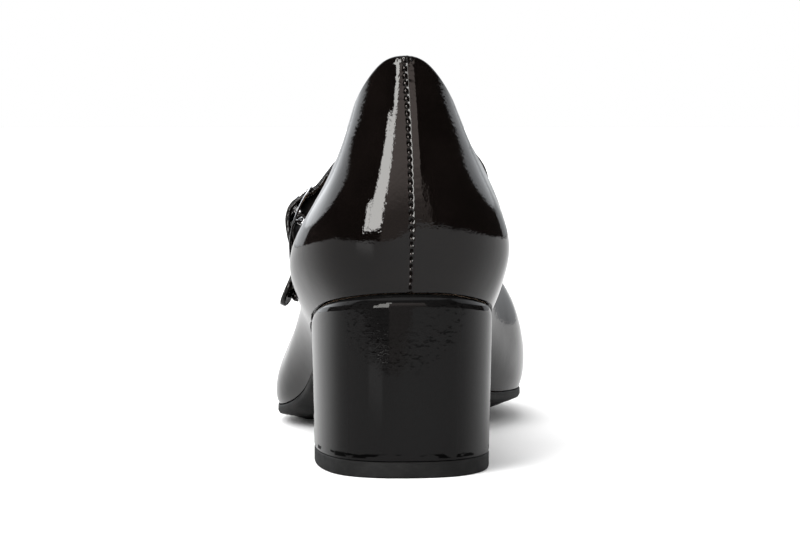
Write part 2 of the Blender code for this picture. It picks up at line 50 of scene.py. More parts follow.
bl_info = {
    "name": "Patent Mary Jane",
    "version": (1, 0, 0),
    "blender": (4, 5, 0),
    "location": "View3D > Sidebar > Shoe",
    "description": "Builds the finished leather, lining, heel, strap and buckle of a shoe",
    "category": "Object",
}

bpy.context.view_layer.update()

# ---------------------------------------------------------------- sizes, millimetres
MM = 0.001
TOP_PIECE_MIDDLE = 26.3       # walking face's middle, forward from the back of the heel
GAP = 0.3                     # room between the sole, the heel and the last
WALL = 1.8                    # upper: leather with lining
LEATHER = 1.05                # the outer leather alone
FOOT_FLARE = 1.12             # wall's width at the feather line, in wall thicknesses
TOPLINE_ROLL = 0.6            # rise of the folded topline
FOOT_OUT = 0.62               # wall's foot, as a share of the way out and up to its widest line
FOOT_UP = 0.42
INSOLE_THICK = 2.2
INSOLE_FLARE = 0.5            # how far its upper face reaches past its lower one
INSOLE_EASE = 0.1             # extra room between insole and wall
SOLE_THICK = 3.0
SOLE_WELT = 0.3               # sole's reach past the feather line
SOLE_EDGE_BEVEL = 0.9
BREAST_FORWARD = 57.0         # heel's front face, at the seat
HEEL_BASE_UP = 5.0
HEEL_BASE_WIDTH = 0.962       # base over seat
HEEL_BASE_LENGTH = 0.92
HEEL_BACK_OUT = 2.1           # how far the base stands out behind the seat
HEEL_BASE_ACROSS = 0.6        # line that the base narrows towards
HEEL_WAIST = 0.10             # how late the side leaves the seat's outline on its way down
TOP_PIECE_THICK = 4.7
LATERAL_LEVEL = 0.66          # level share of the seat, outer and inner side
MEDIAL_LEVEL = 0.42
END_CROWDING = 0.055          # how closely rows crowd at the ends of a sole
INSOLE_END = 2.0              # places left free at the heel's back and the toe's tip
OUTSOLE_END = 1.5
HEEL_END = 1.2
SHARP_EDGE = 40.0             # degrees between faces, from which an edge is sharp

STRAP_THICK = 1.6
STRAP_WIDTH = 13.0
STRAP_FORWARD = 98.0
FRAME_WIDTH = 20.4
RAIL_INSET = 0.9              # rail's middle line, in from the frame's edge
BAR_RADIUS = 0.8
PRONG_RADIUS = 0.6
TAB_THICK = 1.2
TAB_WIDTH = 12.0
PRONG_SLOT = 2.6

# ---------------------------------------------------------------- section tables
# forward/across/seat: the feather line, where the upper meets the sole or the heel
# swell/swell_up: widest line of the wall, out from and above the feather line
# run/rise: a point on the wall above it; run is a share of the way in to the topline, rise is
# measured from the feather line; top_*: the topline; sag: how far the seat dips to the middle
Section = namedtuple(
    "Section", "forward across seat swell swell_up run rise top_forward top_across top_up")

HEEL_BACK = Section(3.6, 3.0, 53.2, 3.6, 15.6, 0.30, 41.6, 7.0, 1.2, 120.6)
LATERAL = (
    Section(4.8, -8.6, 52.7, 4.4, 15.0, 0.36, 39.4, 8.6, -5.9, 118.4),
    Section(10.2, -16.4, 51.3, 5.25, 14.7, 0.43, 37.0, 12.8, -10.9, 112.2),
    Section(18.0, -20.8, 49.8, 6.0, 14.6, 0.48, 35.2, 19.0, -13.7, 106.0),
    Section(27.0, -23.6, 48.0, 6.5, 14.7, 0.52, 34.8, 28.0, -15.3, 99.6),
    Section(41.0, -25.9, 45.0, 6.7, 14.4, 0.52, 32.9, 42.0, -17.9, 92.6),
    Section(57.0, -26.7, 41.0, 6.1, 14.5, 0.50, 31.5, 58.0, -21.2, 85.4),
    Section(75.0, -26.2, 35.2, 5.5, 14.4, 0.47, 30.9, 75.0, -23.8, 77.4),
    Section(92.0, -26.2, 28.2, 5.1, 13.4, 0.49, 29.2, 92.0, -25.2, 70.2),
    Section(108.0, -27.8, 20.6, 4.8, 12.0, 0.50, 28.8, 107.0, -25.6, 64.5),
    Section(122.0, -31.0, 13.4, 4.2, 10.0, 0.42, 28.2, 120.0, -25.2, 60.5),
    Section(136.0, -36.0, 8.3, 2.6, 5.4, 0.30, 21.9, 132.0, -25.8, 58.3),
    Section(150.0, -39.4, 6.3, 1.1, 3.3, 0.23, 18.9, 143.0, -24.4, 57.6),
    Section(166.0, -39.7, 6.2, 0.9, 3.4, 0.19, 18.8, 151.5, -20.4, 57.4),
    Section(182.0, -37.9, 7.0, 1.2, 4.4, 0.17, 19.4, 155.8, -15.4, 57.4),
    Section(198.0, -34.2, 8.6, 1.7, 5.6, 0.15, 19.7, 158.0, -10.8, 57.5),
    Section(212.0, -28.4, 10.3, 2.4, 7.2, 0.13, 20.0, 159.0, -5.8, 57.6),
    Section(225.0, -20.4, 12.6, 2.5, 8.0, 0.12, 19.6, 159.4, -2.4, 57.7),
    Section(234.0, -10.0, 13.8, 2.5, 9.0, 0.10, 19.0, 159.5, 0.2, 57.8),
)
TOE_TIP = Section(237.6, 3.6, 14.3, 2.5, 9.4, 0.095, 19.0, 159.6, 2.2, 57.8)
MEDIAL = (
    Section(7.4, 15.4, 52.5, 4.0, 15.7, 0.36, 39.7, 8.8, 8.3, 118.4),
    Section(15.0, 22.2, 50.8, 4.7, 16.6, 0.42, 37.6, 13.2, 13.4, 112.2),
    Section(24.0, 25.8, 49.0, 5.3, 16.9, 0.41, 35.4, 19.6, 16.4, 106.0),
    Section(33.0, 27.1, 47.0, 5.2, 17.8, 0.36, 33.8, 29.0, 18.6, 99.6),
    Section(45.0, 27.1, 44.0, 5.1, 19.0, 0.27, 33.0, 43.0, 22.2, 92.6),
    Section(58.5, 25.2, 40.4, 5.6, 18.5, 0.28, 32.5, 58.5, 25.8, 85.6),
    Section(75.0, 21.4, 35.6, 6.2, 16.6, 0.38, 30.7, 75.0, 27.6, 78.2),
    Section(92.0, 18.6, 29.8, 6.8, 15.8, 0.45, 29.8, 92.0, 27.9, 72.0),
    Section(108.0, 19.0, 23.0, 7.0, 16.2, 0.45, 30.2, 107.0, 27.8, 66.6),
    Section(122.0, 22.6, 16.6, 6.6, 15.6, 0.42, 31.1, 120.0, 27.0, 62.3),
    Section(136.0, 28.6, 12.0, 5.6, 13.9, 0.32, 31.4, 132.0, 26.6, 60.0),
    Section(150.0, 35.0, 10.6, 3.6, 9.8, 0.20, 30.8, 143.0, 24.8, 58.5),
    Section(166.0, 39.2, 10.0, 1.9, 7.8, 0.20, 29.2, 151.5, 21.4, 58.0),
    Section(182.0, 39.6, 10.0, 1.5, 7.4, 0.21, 26.5, 155.8, 17.2, 57.8),
    Section(198.0, 36.8, 10.3, 2.1, 7.4, 0.18, 23.5, 158.0, 13.2, 57.8),
    Section(212.0, 32.0, 10.8, 2.4, 7.8, 0.15, 21.2, 159.0, 8.8, 57.8),
    Section(225.0, 25.0, 12.2, 2.4, 8.4, 0.12, 20.0, 159.4, 6.0, 57.8),
    Section(234.0, 16.0, 13.7, 2.5, 9.0, 0.10, 19.2, 159.5, 4.0, 57.8),
)
# seat dip to the middle of each section, heel back first and toe tip last
SEAT_SAG = (0.0, 0.3, 0.6, 0.8, 0.9, 1.0, 1.1, 1.3, 1.5, 2.0,
            1.8, 1.5, 1.7, 4.5, 5.9, 5.6, 4.4, 2.8, 1.3, 0.0)

# paths seen from behind. Strap: from inside the inner quarter over the instep to its tail
PathPoint = namedtuple("PathPoint", "across up")
STRAP_LIE = (
    PathPoint(21.6, 55.0), PathPoint(22.6, 63.0), PathPoint(23.8, 71.0),
    PathPoint(26.8, 79.6), PathPoint(25.6, 86.0), PathPoint(18.6, 93.2),
    PathPoint(8.0, 97.6), PathPoint(-4.0, 97.0), PathPoint(-13.0, 92.8),
    PathPoint(-19.6, 86.6), PathPoint(-26.5, 78.1), PathPoint(-30.1, 76.0),
    PathPoint(-32.8, 74.1), PathPoint(-34.1, 71.4), PathPoint(-34.3, 68.2),
    PathPoint(-33.4, 62.8), PathPoint(-32.4, 57.0), PathPoint(-32.8, 52.5),
    PathPoint(-34.7, 47.0), PathPoint(-36.8, 42.6),
)
# tab: from its sewn end on the outer quarter up and round the buckle's bar
TAB_LIE = (
    PathPoint(-32.9, 44.2), PathPoint(-31.6, 50.0), PathPoint(-29.9, 56.0),
    PathPoint(-29.0, 62.0), PathPoint(-28.9, 67.0), PathPoint(-29.2, 70.1),
    PathPoint(-30.8, 71.2), PathPoint(-32.3, 70.3), PathPoint(-32.5, 69.0),
)
# tab's outer ply below the bar, and the guard between the buckle and the quarter
TAB_FOLD = (
    PathPoint(-32.6, 69.3), PathPoint(-32.1, 66.0), PathPoint(-31.5, 61.5),
    PathPoint(-31.1, 57.0), PathPoint(-31.7, 52.5), PathPoint(-32.9, 48.0),
)
TAB_BACKING = (
    PathPoint(-28.6, 62.0), PathPoint(-28.6, 66.0), PathPoint(-29.0, 69.5),
    PathPoint(-29.4, 72.4), PathPoint(-28.8, 75.0), PathPoint(-27.0, 77.2),
    PathPoint(-24.6, 79.3), PathPoint(-22.4, 82.0),
)
# buckle frame's side, top to bottom, its bar, the fastened hole and the prong ahead of the bar
FRAME_SIDE = (
    PathPoint(-28.1, 79.3), PathPoint(-31.2, 73.8), PathPoint(-33.3, 67.6),
    PathPoint(-34.2, 61.6), PathPoint(-34.0, 57.0),
)
BAR = PathPoint(-30.8, 69.5)
STRAP_HOLE = PathPoint(-32.9, 73.6)
PRONG_LIE = (
    PathPoint(-32.6, 71.2), PathPoint(-33.3, 73.2), PathPoint(-33.0, 74.8),
    PathPoint(-31.6, 76.6), PathPoint(-29.9, 78.1), PathPoint(-28.6, 79.3),
)
# a band's lean: distances from its end, and how far its front edge stands out there per
# millimetre of width
Lean = namedtuple("Lean", "distances shares")
LEVEL = Lean((0.0,), (0.0,))
STRAP_LEAN = Lean((0.0, 7.0, 14.0, 19.0, 34.0, 46.0, 62.0),
                  (0.17, 0.15, 0.04, 0.10, 0.13, 0.15, 0.0))
TAB_LEAN = Lean((0.0, 12.0, 18.0, 26.0, 40.0), (0.0, 0.0, 0.12, 0.12, 0.12))
FOLD_LEAN = Lean((0.0, 8.0, 16.0, 20.0, 23.0), (0.10, 0.16, 0.22, 0.20, 0.0))
BACKING_LEAN = Lean((0.0, 4.0, 7.0, 11.0, 13.0, 16.0), (0.08, 0.20, 0.36, 0.40, 0.26, 0.0))


# ---------------------------------------------------------------- the last's surfaces
def spline(knots, points, samples, closed):
    """Cubic spline through the points, curvature-continuous; closed or with free ends."""
    knots = np.asarray(knots, float)
    points = np.asarray(points, float)
    spans = np.diff(knots)
    count = len(points)
    matrix = np.zeros((count, count))
    right = np.zeros_like(points)
    for i in range(count):
        if not closed and i in (0, count - 1):
            matrix[i, i] = 1.0
            continue
        before = spans[i - 1]
        after = spans[i]
        previous = (i - 1) % count
        following = (i + 1) % count
        matrix[i, previous] += before
        matrix[i, i] += 2.0 * (before + after)
        matrix[i, following] += after
        rise = (points[following] - points[i]) / after
        fall = (points[i] - points[previous]) / before
        right[i] = 6.0 * (rise - fall)
    bend = np.linalg.solve(matrix, right)
    if closed:
        points = np.vstack((points, points[:1]))
        bend = np.vstack((bend, bend[:1]))
    place = np.clip(np.searchsorted(knots, samples, side="right") - 1, 0, len(spans) - 1)
    span = spans[place][:, None]
    right_share = (np.asarray(samples, float) - knots[place])[:, None] / span
    left_share = 1.0 - right_share
    blend = left_share * points[place] + right_share * points[place + 1]
    left_cubic = (left_share ** 3 - left_share) * bend[place]
    right_cubic = (right_share ** 3 - right_share) * bend[place + 1]
    return blend + (left_cubic + right_cubic) * span ** 2 / 6.0


def chord_knots(points):
    steps = np.linalg.norm(np.diff(points, axis=0), axis=1)
    return np.concatenate(([0.0], np.cumsum(steps)))


def half_knots():
    """One knot per section, shared by both sides so that sections face each other."""
    lateral = np.array((HEEL_BACK,) + LATERAL + (TOE_TIP,))[:, :2]
    medial = np.array((HEEL_BACK,) + MEDIAL + (TOE_TIP,))[:, :2]
    return 0.5 * (chord_knots(lateral) + chord_knots(medial))


def full_knots():
    half = half_knots()
    return np.concatenate((half, 2.0 * half[-1] - half[-2::-1]))


def sections_around():
    return np.array((HEEL_BACK,) + LATERAL + (TOE_TIP,) + MEDIAL[::-1])


def sag_around():
    sag = np.array(SEAT_SAG)
    return np.concatenate((sag, sag[-2:0:-1]))[:, None]


def sections_at(places):
    return spline(full_knots(), sections_around(), places, True)


def outward(places):
    """Plan direction square to the feather line."""
    step = 0.5
    total = full_knots()[-1]
    ahead = sections_at((places + step) % total)[:, :2]
    behind = sections_at((places - step) % total)[:, :2]
    travel = ahead - behind
    travel /= np.linalg.norm(travel, axis=1)[:, None]
    return np.stack((-travel[:, 0], travel[:, 1]), axis=1)


def feather_line(places):
    section = sections_at(places)
    return np.stack((section[:, 1], section[:, 0], section[:, 2]), axis=1)


def wall_levels(places):
    """Feather, foot, widest, shoulder and topline points of every section."""
    table = Section(*sections_at(places).T)
    side = outward(places)
    feather = np.stack((table.across, table.forward, table.seat), axis=1)
    side = np.stack((side[:, 0], side[:, 1], np.zeros(len(places))), axis=1)
    up = np.array((0.0, 0.0, 1.0))
    foot = feather + side * (FOOT_OUT * table.swell)[:, None]
    foot = foot + up * (FOOT_UP * table.swell_up)[:, None]
    widest = feather + side * table.swell[:, None] + up * table.swell_up[:, None]
    top = np.stack((table.top_across, table.top_forward, table.top_up), axis=1)
    shoulder = widest + (top - widest) * table.run[:, None]
    shoulder[:, 2] = table.seat + table.rise
    return np.stack((feather, foot, widest, shoulder, top), axis=1)


def wall_surface(places, shares):
    rows = []
    for levels in wall_levels(places):
        knots = chord_knots(levels)
        rows.append(spline(knots, levels, shares * knots[-1], False))
    return np.array(rows)


def surface_normals(grid):
    around = np.roll(grid, -1, axis=0) - np.roll(grid, 1, axis=0)
    upward = np.gradient(grid, axis=1)
    normal = np.cross(upward, around)
    return normal / np.linalg.norm(normal, axis=2)[:, :, None]


def bottom_inset(places, distance):
    """Feather line moved inwards along the seat."""
    line = feather_line(places)
    side = outward(places)
    line[:, :2] -= side * np.reshape(distance, (-1, 1))
    return line


def rim_direction(outer, normal):
    """Up along the wall at the topline."""
    around = np.roll(outer, -1, axis=0)[:, -1] - np.roll(outer, 1, axis=0)[:, -1]
    along = np.cross(normal[:, -1], around)
    along /= np.linalg.norm(along, axis=1)[:, None]
    return along * np.sign(along[:, 2])[:, None]


def dip(shares):
    """Cross-section of the seat: flat in the middle, rising to the edges."""
    away = np.abs(2.0 * shares - 1.0)
    level = np.where(shares < 0.5, LATERAL_LEVEL, MEDIAL_LEVEL)
    climb = np.clip((away - level) / (1.0 - level), 0.0, 1.0)
    return 1.0 - climb ** 2


def seat_rows(places, inset, widen, shares):
    """Rows from the outer to the inner feather line that follow the underside of the foot."""
    total = full_knots()[-1]
    lateral = bottom_inset(places, inset - widen)
    medial = bottom_inset(total - places, inset - widen)
    sag = spline(full_knots(), sag_around(), places, True)[:, 0]
    rows = []
    for left, right, depth in zip(lateral, medial, sag):
        row = left + (right - left) * shares[:, None]
        row[:, 2] -= depth * dip(shares)
        rows.append(row)
    return np.array(rows)


def breast_place():
    places = np.linspace(0.0, half_knots()[-1], 400)
    forward = 0.5 * (sections_at(places)[:, 0] + sections_at(full_knots()[-1] - places)[:, 0])
    return float(np.interp(BREAST_FORWARD, forward, places))


def loop_faces(loop_count, size, closed_loops):
    """Quads between neighbouring loops of the same size; the last may join the first."""
    faces = []
    last = loop_count if closed_loops else loop_count - 1
    for i in range(last):
        here = i * size
        there = ((i + 1) % loop_count) * size
        for j in range(size):
            k = (j + 1) % size
            faces.append((here + j, there + j, there + k, here + k))
    return faces


def rim_indices(rows, across):
    first = list(range(across - 1, 0, -1))
    left = [i * across for i in range(rows - 1)]
    last = [(rows - 1) * across + j for j in range(across - 1)]
    right = [i * across + across - 1 for i in range(rows - 1, 0, -1)]
    return first + left + last + right


def rim_points(grid):
    rows, across = grid.shape[:2]
    flat = grid.reshape(-1, 3)
    return flat[rim_indices(rows, across)]


def end_safe_places(start, finish, steps):
    """Places along one side that stop just short of the heel back and toe tip."""
    share = np.linspace(0.0, 1.0, steps + 1)
    share = share - END_CROWDING * np.sin(2.0 * np.pi * share)
    return start + (finish - start) * share


def path_points(table, steps):
    points = np.array(table)
    knots = chord_knots(points)
    return spline(knots, points, np.linspace(0.0, knots[-1], steps + 1), False)


def path_normals(points):
    travel = np.gradient(points, axis=0)
    travel /= np.linalg.norm(travel, axis=1)[:, None]
    return np.stack((-travel[:, 1], travel[:, 0]), axis=1)


def heel_base(rows, up):
    base = rows.copy()
    back = rows[:, :, 1].min() - HEEL_BACK_OUT
    base[:, :, 0] = HEEL_BASE_ACROSS + (rows[:, :, 0] - HEEL_BASE_ACROSS) * HEEL_BASE_WIDTH
    base[:, :, 1] = back + (rows[:, :, 1] - rows[:, :, 1].min()) * HEEL_BASE_LENGTH
    base[:, :, 2] = up
    return base


# ---------------------------------------------------------------- looks: sizes in millimetres
UPPER_ROWS = 168              # rows from feather line to topline, outside and inside
INNER_ROWS = 14
LINING_ROWS = 46
SEAM_ZONE = 5.0               # columns are finest this close to the back seam
SEAM_STEP = 0.22
COLUMN_STEP = 1.55
COLUMN_GROWTH = 1.09
LINING_STEPS = (1.2, 1.7)     # finest and coarsest column of the lining
INSOLE_GRID = (46, 150)       # steps across and along
OUTSOLE_GRID = (50, 300)
HEEL_GRID = (60, 110)
STRAP_STEPS = 330             # steps along each path
TAB_STEPS = 150
PLY_STEPS = 90
FRAME_STEPS = 120
PRONG_STEPS = 150
FOLD_TURNS = (24.0, 50.0, 76.0, 102.0, 128.0, 154.0)    # degrees round the folded topline
CUT_EDGE = 0.55               # leather's cut edge at the feather line, and where its rounding ends
CUT_ROUND = 0.14
LINING_HIDDEN = 0.03          # how far the lining's hidden face lies under the leather
LINING_FOLD = 0.05            # and where its rim begins
LINING_RIM = 0.22             # rise of the rim

# back seam. Its pits: one to a stitch, fading out below the rim
FIRST_STITCH = 1.7            # up the seam from the feather line
SEAM_WAVER = 0.16             # how far its line wanders sideways
PIT_SIDE = 0.05               # pits' middle, to the outer side of the line
PIT_WIDTH = 0.44
PIT_LENGTH = 0.64
PIT_DEPTH = 1.2               # in groove depths
PIT_SHADE = 1.7               # how strongly a pit's painted shade dims the lacquer
PIT_RIM_MARGIN = 1.5
# lapped edge of the inner quarter: a step up beside the line, which fades away inwards
LAP_RISE = 0.105
LAP_START = 0.36
LAP_WAVER = 0.07
LAP_WIDTH = 0.52
LAP_FADE = (1.0, 5.2)
# low ridge where the lap's turned edge ends, and the heights between which it appears
RIDGE_RISE = 0.02
RIDGE_SIDE = 2.9
RIDGE_WIDTH = 0.5
RIDGE_UP = (28.0, 40.0)
# cup's top leans in: slope, how far below the rim it starts and how softly, width to either side
TOP_LEAN = 0.035
TOP_LEAN_FROM = 15.2
TOP_LEAN_EASE = 0.8
TOP_LEAN_WIDTH = 24.0
# knob and puckers where the seam ends at the rim, and fainter puckers at the feather line
KNOB_RISE = 0.35
KNOB_WIDTH = 2.6
KNOB_HEIGHT = 1.4
PUCKER_RISE = 0.5
PUCKER_SIDE = 0.8
PUCKER_RIM_HEIGHT = 1.7
PUCKER_FOOT_HEIGHT = 1.3
PUCKER_FOOT_SHARE = 0.35
# thread: how deep its middle lies, its place beside the seam's line, and its free ends
THREAD_SINK = 0.09
THREAD_SIDE = -0.25
THREAD_FREE = (1.1, 0.8)

# insole: rounded edge, pressed line inside it, and padding towards the middle
INSOLE_ROUND = (0.75, 0.9)    # drop at the very edge, and its reach
INSOLE_LINE = (0.16, 5.5, 0.7)    # depth, distance from the edge and width
INSOLE_PAD = (0.35, 6.0, 16.0)    # rise, and the distances between which it swells

# outsole: cross ribs under the forefoot inside a pressed line
TREAD_EDGE = (6.0, 7.5)       # distances from the edge between which the ribs begin
TREAD_BACK = (132.0, 136.0)   # forward, where the ribbed field begins and ends
TREAD_FRONT = (212.0, 216.0)
TREAD_PITCH = 4.4
TREAD_DEPTH = 0.4
SOLE_LINE = (0.25, 4.6, 0.6)  # depth, distance from the edge and width
# sole's edge: drop below the welt and push outwards of each ring, top to bottom
SOLE_EDGE = ((0.35, 0.0), (0.3 * SOLE_THICK, 0.05), (0.6 * SOLE_THICK, 0.05),
             (SOLE_THICK - SOLE_EDGE_BEVEL, 0.0), (SOLE_THICK - 0.2, -0.42))

# heel cover
HEEL_POINTS = 360             # points round its outline
HEEL_CORNER = 3.2             # smoothing of its corners, in steps of the outline
SHOULDER_DEPTH = 3.6          # rolled top edge
SHOULDER_ROLL = 1.0
SHOULDER_BACK = 1.9           # extra roll at the heel's back, which stands out over its seat
SHOULDER_SHARE = 0.09         # upper share of the height that has the finest rows
SHOULDER_ROWS = 24
SIDE_ROWS = 84
CAP_INSET = 3.4               # closing face under the seat
CAP_DROP = 2.2
TUCK_IN = 1.2                 # closing face over the top piece
CRINKLE_MIDDLE = (0.8, 51.0)  # round patch of crinkles at the back: across and up
CRINKLE_RADIUS = 21.0
CRINKLE_BACK = 22.0           # and how far forward it reaches
CRINKLE_RELIEF = 0.003
# top piece: inset and height of each ring, top to bottom
TOP_PIECE_RINGS = (
    (1.6, TOP_PIECE_THICK), (0.22, TOP_PIECE_THICK), (0.06, TOP_PIECE_THICK - 0.14),
    (0.0, TOP_PIECE_THICK - 0.5), (0.0, 3.0), (0.0, 1.5), (0.0, 0.75), (0.05, 0.42),
    (0.18, 0.17), (0.38, 0.03), (0.6, 0.0), (2.2, 0.0),
)

# strap, tab and buckle
STITCH_EDGE = 1.6             # stitch line, in from the band's edge
TIP_LENGTH = 6.5              # strap's round tip
LINING_INSET = 2.2            # strap's lining is this much narrower
HOLE_RADIUS = 1.05
PUNCH_LENGTH = 5.0            # of the cutter that makes a hole
SLOT_SIZE = (9.0, PRONG_SLOT, 5.6)    # cutter of the tab's slot, and its middle above the bar
SLOT_RISE = 0.4
BAND_NARROWEST = 0.12         # half width at which a tip closes
BUCKLE_CORNER = 3.0
BUCKLE_STEP = 0.55
RAIL_SMOOTHING = 1.2          # in steps of its outline
RAIL_WIDE = 0.85              # half width and half thickness of the buckle's rail
RAIL_THICK = 0.36
LOOK_BAR = 0.6                # radii of the bar and the prong
LOOK_PRONG = 0.45
EYE_ROOM = 0.25               # between the bar and the prong's eye
# degrees round the bar: from above its inner side, under it and up to its outer side
EYE_TURNS = range(60, -181, -30)

# soft troughs (depth below zero) and ridges on the quarters and vamp; side -1 outer, 1 inner
Crease = namedtuple("Crease", "side forward_a up_a forward_b up_b width depth")
CREASE_OUT = 4.0              # a crease fades between these distances out from and in from its ends
CREASE_IN = 6.0
CREASES = (
    Crease(-1, 70.0, 44.0, 112.0, 46.0, 9.0, -0.32),
    Crease(1, 66.0, 52.0, 112.0, 44.0, 9.0, -0.28),
    Crease(-1, 118.0, 40.0, 140.0, 22.0, 6.0, -0.22),
    Crease(1, 118.0, 44.0, 142.0, 26.0, 6.0, -0.22),
    Crease(-1, 150.0, 46.0, 162.0, 24.0, 3.4, -0.16),
    Crease(1, 150.0, 46.0, 164.0, 26.0, 3.4, -0.16),
    Crease(-1, 156.0, 50.0, 168.0, 28.0, 3.0, 0.12),
    Crease(1, 156.0, 50.0, 170.0, 30.0, 3.0, 0.12),
    Crease(-1, 24.0, 56.0, 52.0, 50.0, 5.0, -0.12),
    Crease(1, 26.0, 58.0, 54.0, 52.0, 5.0, -0.12),
    Crease(-1, 46.0, 84.0, 86.0, 66.0, 3.5, 0.14),
    Crease(1, 46.0, 84.0, 88.0, 68.0, 3.5, 0.14),
)

# lacquered leathers, places in metres
COAT_INDEX = 1.36
HEEL_COLOUR = (0.0044, 0.0042, 0.0042)
# heel cover's crinkled patch as a unit ball: shift and scale of its coordinates
PATCH_SHIFT = (-0.038, 1.13, -2.43)
PATCH_SCALE = (47.6, 35.0, 47.6)
PATCH_INSIDE = (0.25, 0.8)    # between these sizes of the ball its marks appear
PATCH_OUTSIDE = (1.12, 0.92)  # and between these they end
FINE_SCALE = (520.0, 520.0, 1250.0)
# scuffs along the foot of the cover: heights between which they begin and end
SCUFF_FOOT = (0.0054, 0.0058)
SCUFF_TOP = (0.0072, 0.0066)
SCUFF_SHIFT = (0.3, 0.0, 0.0)
SCUFF_SCALE = (170.0, 170.0, 500.0)
# painted reflection: the cover's lacquer weight is set by place across, weaker mid-way;
# where it changes, from what weight to what; the inner side's is added
PAINTED_REFLECTION_OUTER_SIDE = (-0.0255, -0.015, 0.95, 0.4)
PAINTED_REFLECTION_INNER_SIDE = (0.014, 0.0255, 0.0, 0.26)

# ---------------------------------------------------------------- surroundings, metres
TABLE_EDGE = -0.375           # near edge of the table; further away on the inner side
TABLE_FAR_EDGE = -1.6
TABLE_REACH = 4.0             # ahead and to either side
TABLE_BEND = (0.02, 0.5)      # across, where its near edge draws away
TABLE_SIDES = (-0.06, 0.06)   # across, from its outer to its inner side
TABLE_STEPS = 40
TABLE_PAINTED_REFLECTION = (0.5, 0.58)  # painted reflection: its colour's share in reflections, outer and inner side
# the room by direction: every pair is where a soft edge begins and ends
WALL_LEFT = (-0.22, -0.19)    # dim wall's edges, sideways over backwards
WALL_RIGHT = (0.505, 0.475)
WALL_BEHIND = (-0.2, -0.4)
WALL_CLIMB = (0.02, 0.34)     # heights between which it brightens, and from what to what
WALL_BRIGHTNESS = (0.62, 2.3)
WALL_TOP = (0.52, 0.43)
WALL_TINT = (1.0, 0.86, 0.80)
ROOM_DARK = (0.035, 0.031, 0.029)
AHEAD = (-0.05, 0.1)          # bright part ahead
AHEAD_TILT = 0.36             # its lower edge falls by this much per unit forward
AHEAD_TINT = (0.97, 1.0, 1.03)
AHEAD_SIDES = (-0.3, 0.3)     # from the outer to the inner side
AHEAD_OUTER = 2.1             # brightness and lower edge on either side
AHEAD_OUTER_EDGE = (0.402, 0.420)
AHEAD_INNER = 1.25
AHEAD_INNER_EDGE = (0.424, 0.440)
TOE_GLOW = 0.5                # low light straight ahead of the toe
TOE_GLOW_AHEAD = (0.785, 0.80)
TOE_GLOW_TOP = (0.16, 0.10)
HORIZON = (-0.02, 0.0)
BELOW_HORIZON = 0.2
CEILING = (0.74, 0.82)
OVERHEAD = 1.6                # ceiling's brightness
FILL = 0.9                    # brightness for everything but reflections
WHITE = (1.0, 1.0, 1.0)

STRIP_AWAY = 1.5
STRIP_TINT = (1.0, 0.99, 0.96)
# strip light's panels: turn in degrees from the strip's own, width, low and high edge
STRIP_PANELS = (
    ("strip", 0.0, 0.47, 0.0, 0.70),
    ("strip_top", -7.0, 0.21, 0.70, 1.0),
    ("strip_side", 12.6, 0.17, 0.02, 0.40),
)
# its painted gleam on the table, an emission seen only in reflections: a fan behind the heel, by
# sideways over backwards and by distance
PAINTED_GLEAM_LEFT = (-1.05, -0.85)
PAINTED_GLEAM_RIGHT = (-0.34, -0.44)
PAINTED_GLEAM_AWAY = (0.12, 0.28)
# soft lights: direction they come from and angle in degrees
KEY_FROM = (-0.14, -0.08, 1.0)
KEY_ANGLE = 36.0
SIDE_FROM = (-0.75, -0.8, 0.75)
SIDE_ANGLE = 40.0


# ---------------------------------------------------------------- mesh helpers
def weld(item):
    body = bmesh.new()
    body.from_mesh(item.data)
    bmesh.ops.remove_doubles(body, verts=body.verts, dist=1e-6)
    bmesh.ops.recalc_face_normals(body, faces=body.faces)
    body.to_mesh(item.data)
    body.free()


def placed(name, data):
    """New object of the mesh, lamp or camera, at the origin."""
    item = bpy.data.objects.new(name, data)
    bpy.context.scene.collection.objects.link(item)
    return item


def in_metres(points):
    """Points in millimetres from the heel's back, in metres from the walking face's middle."""
    moved = np.array(points, float) * MM
    moved[:, 1] -= TOP_PIECE_MIDDLE * MM
    return moved


def smooth(mesh):
    mesh.shade_smooth()
    mesh.set_sharp_from_angle(angle=math.radians(SHARP_EDGE))


def evaluated_mesh(item):
    """The piece's mesh with its modifiers worked in."""
    graph = bpy.context.evaluated_depsgraph_get()
    return bpy.data.meshes.new_from_object(item.evaluated_get(graph))


def finished(name, points, faces, material, painted_shade=None):
    """Closed mesh at the origin from points in millimetres; painted_shade, the painted shade of the
    seam's pits, is kept for its material.
    """
    mesh = bpy.data.meshes.new(name)
    mesh.from_pydata(in_metres(points).tolist(), [], faces)
    mesh.materials.append(material)
    if painted_shade is not None:
        mesh.attributes.new("painted_shade", "FLOAT", "POINT").data.foreach_set("value", np.ravel(painted_shade))
    item = placed(name, mesh)
    weld(item)
    smooth(mesh)
    return item


def loops_to_mesh(name, loops, material, ring, painted_shade=None):
    """Skin over loops of equal size; ring joins the last to the first, else both ends close."""
    size = len(loops[0])
    points = np.concatenate([np.asarray(loop, float) for loop in loops])
    faces = loop_faces(len(loops), size, ring)
    if not ring:
        faces.append(tuple(range(size)))
        faces.append(tuple(range(len(points) - 1, len(points) - size - 1, -1)))
    return finished(name, points, faces, material, painted_shade)


def sheet_to_mesh(name, material, top_rows, low_rows, edge_rings):
    """Closed body between two grids of rows; edge_rings are rim loops from top to bottom."""
    rows, across = top_rows.shape[:2]
    count = rows * across
    points = [top_rows.reshape(-1, 3), low_rows.reshape(-1, 3)]
    faces = []
    for i in range(rows - 1):
        for j in range(across - 1):
            a = i * across + j
            b = a + across
            faces.append((a, a + 1, b + 1, b))
            faces.append((count + a, count + b, count + b + 1, count + a + 1))
    rim = rim_indices(rows, across)
    chain = [rim]
    start = 2 * count
    for ring in edge_rings:
        points.append(ring)
        chain.append([start + k for k in range(len(ring))])
        start += len(ring)
    chain.append([count + index for index in rim])
    for above, below in zip(chain[:-1], chain[1:]):
        for k in range(len(rim)):
            m = (k + 1) % len(rim)
            faces.append((above[k], below[k], below[m], above[m]))
    return finished(name, np.concatenate(points), faces, material)


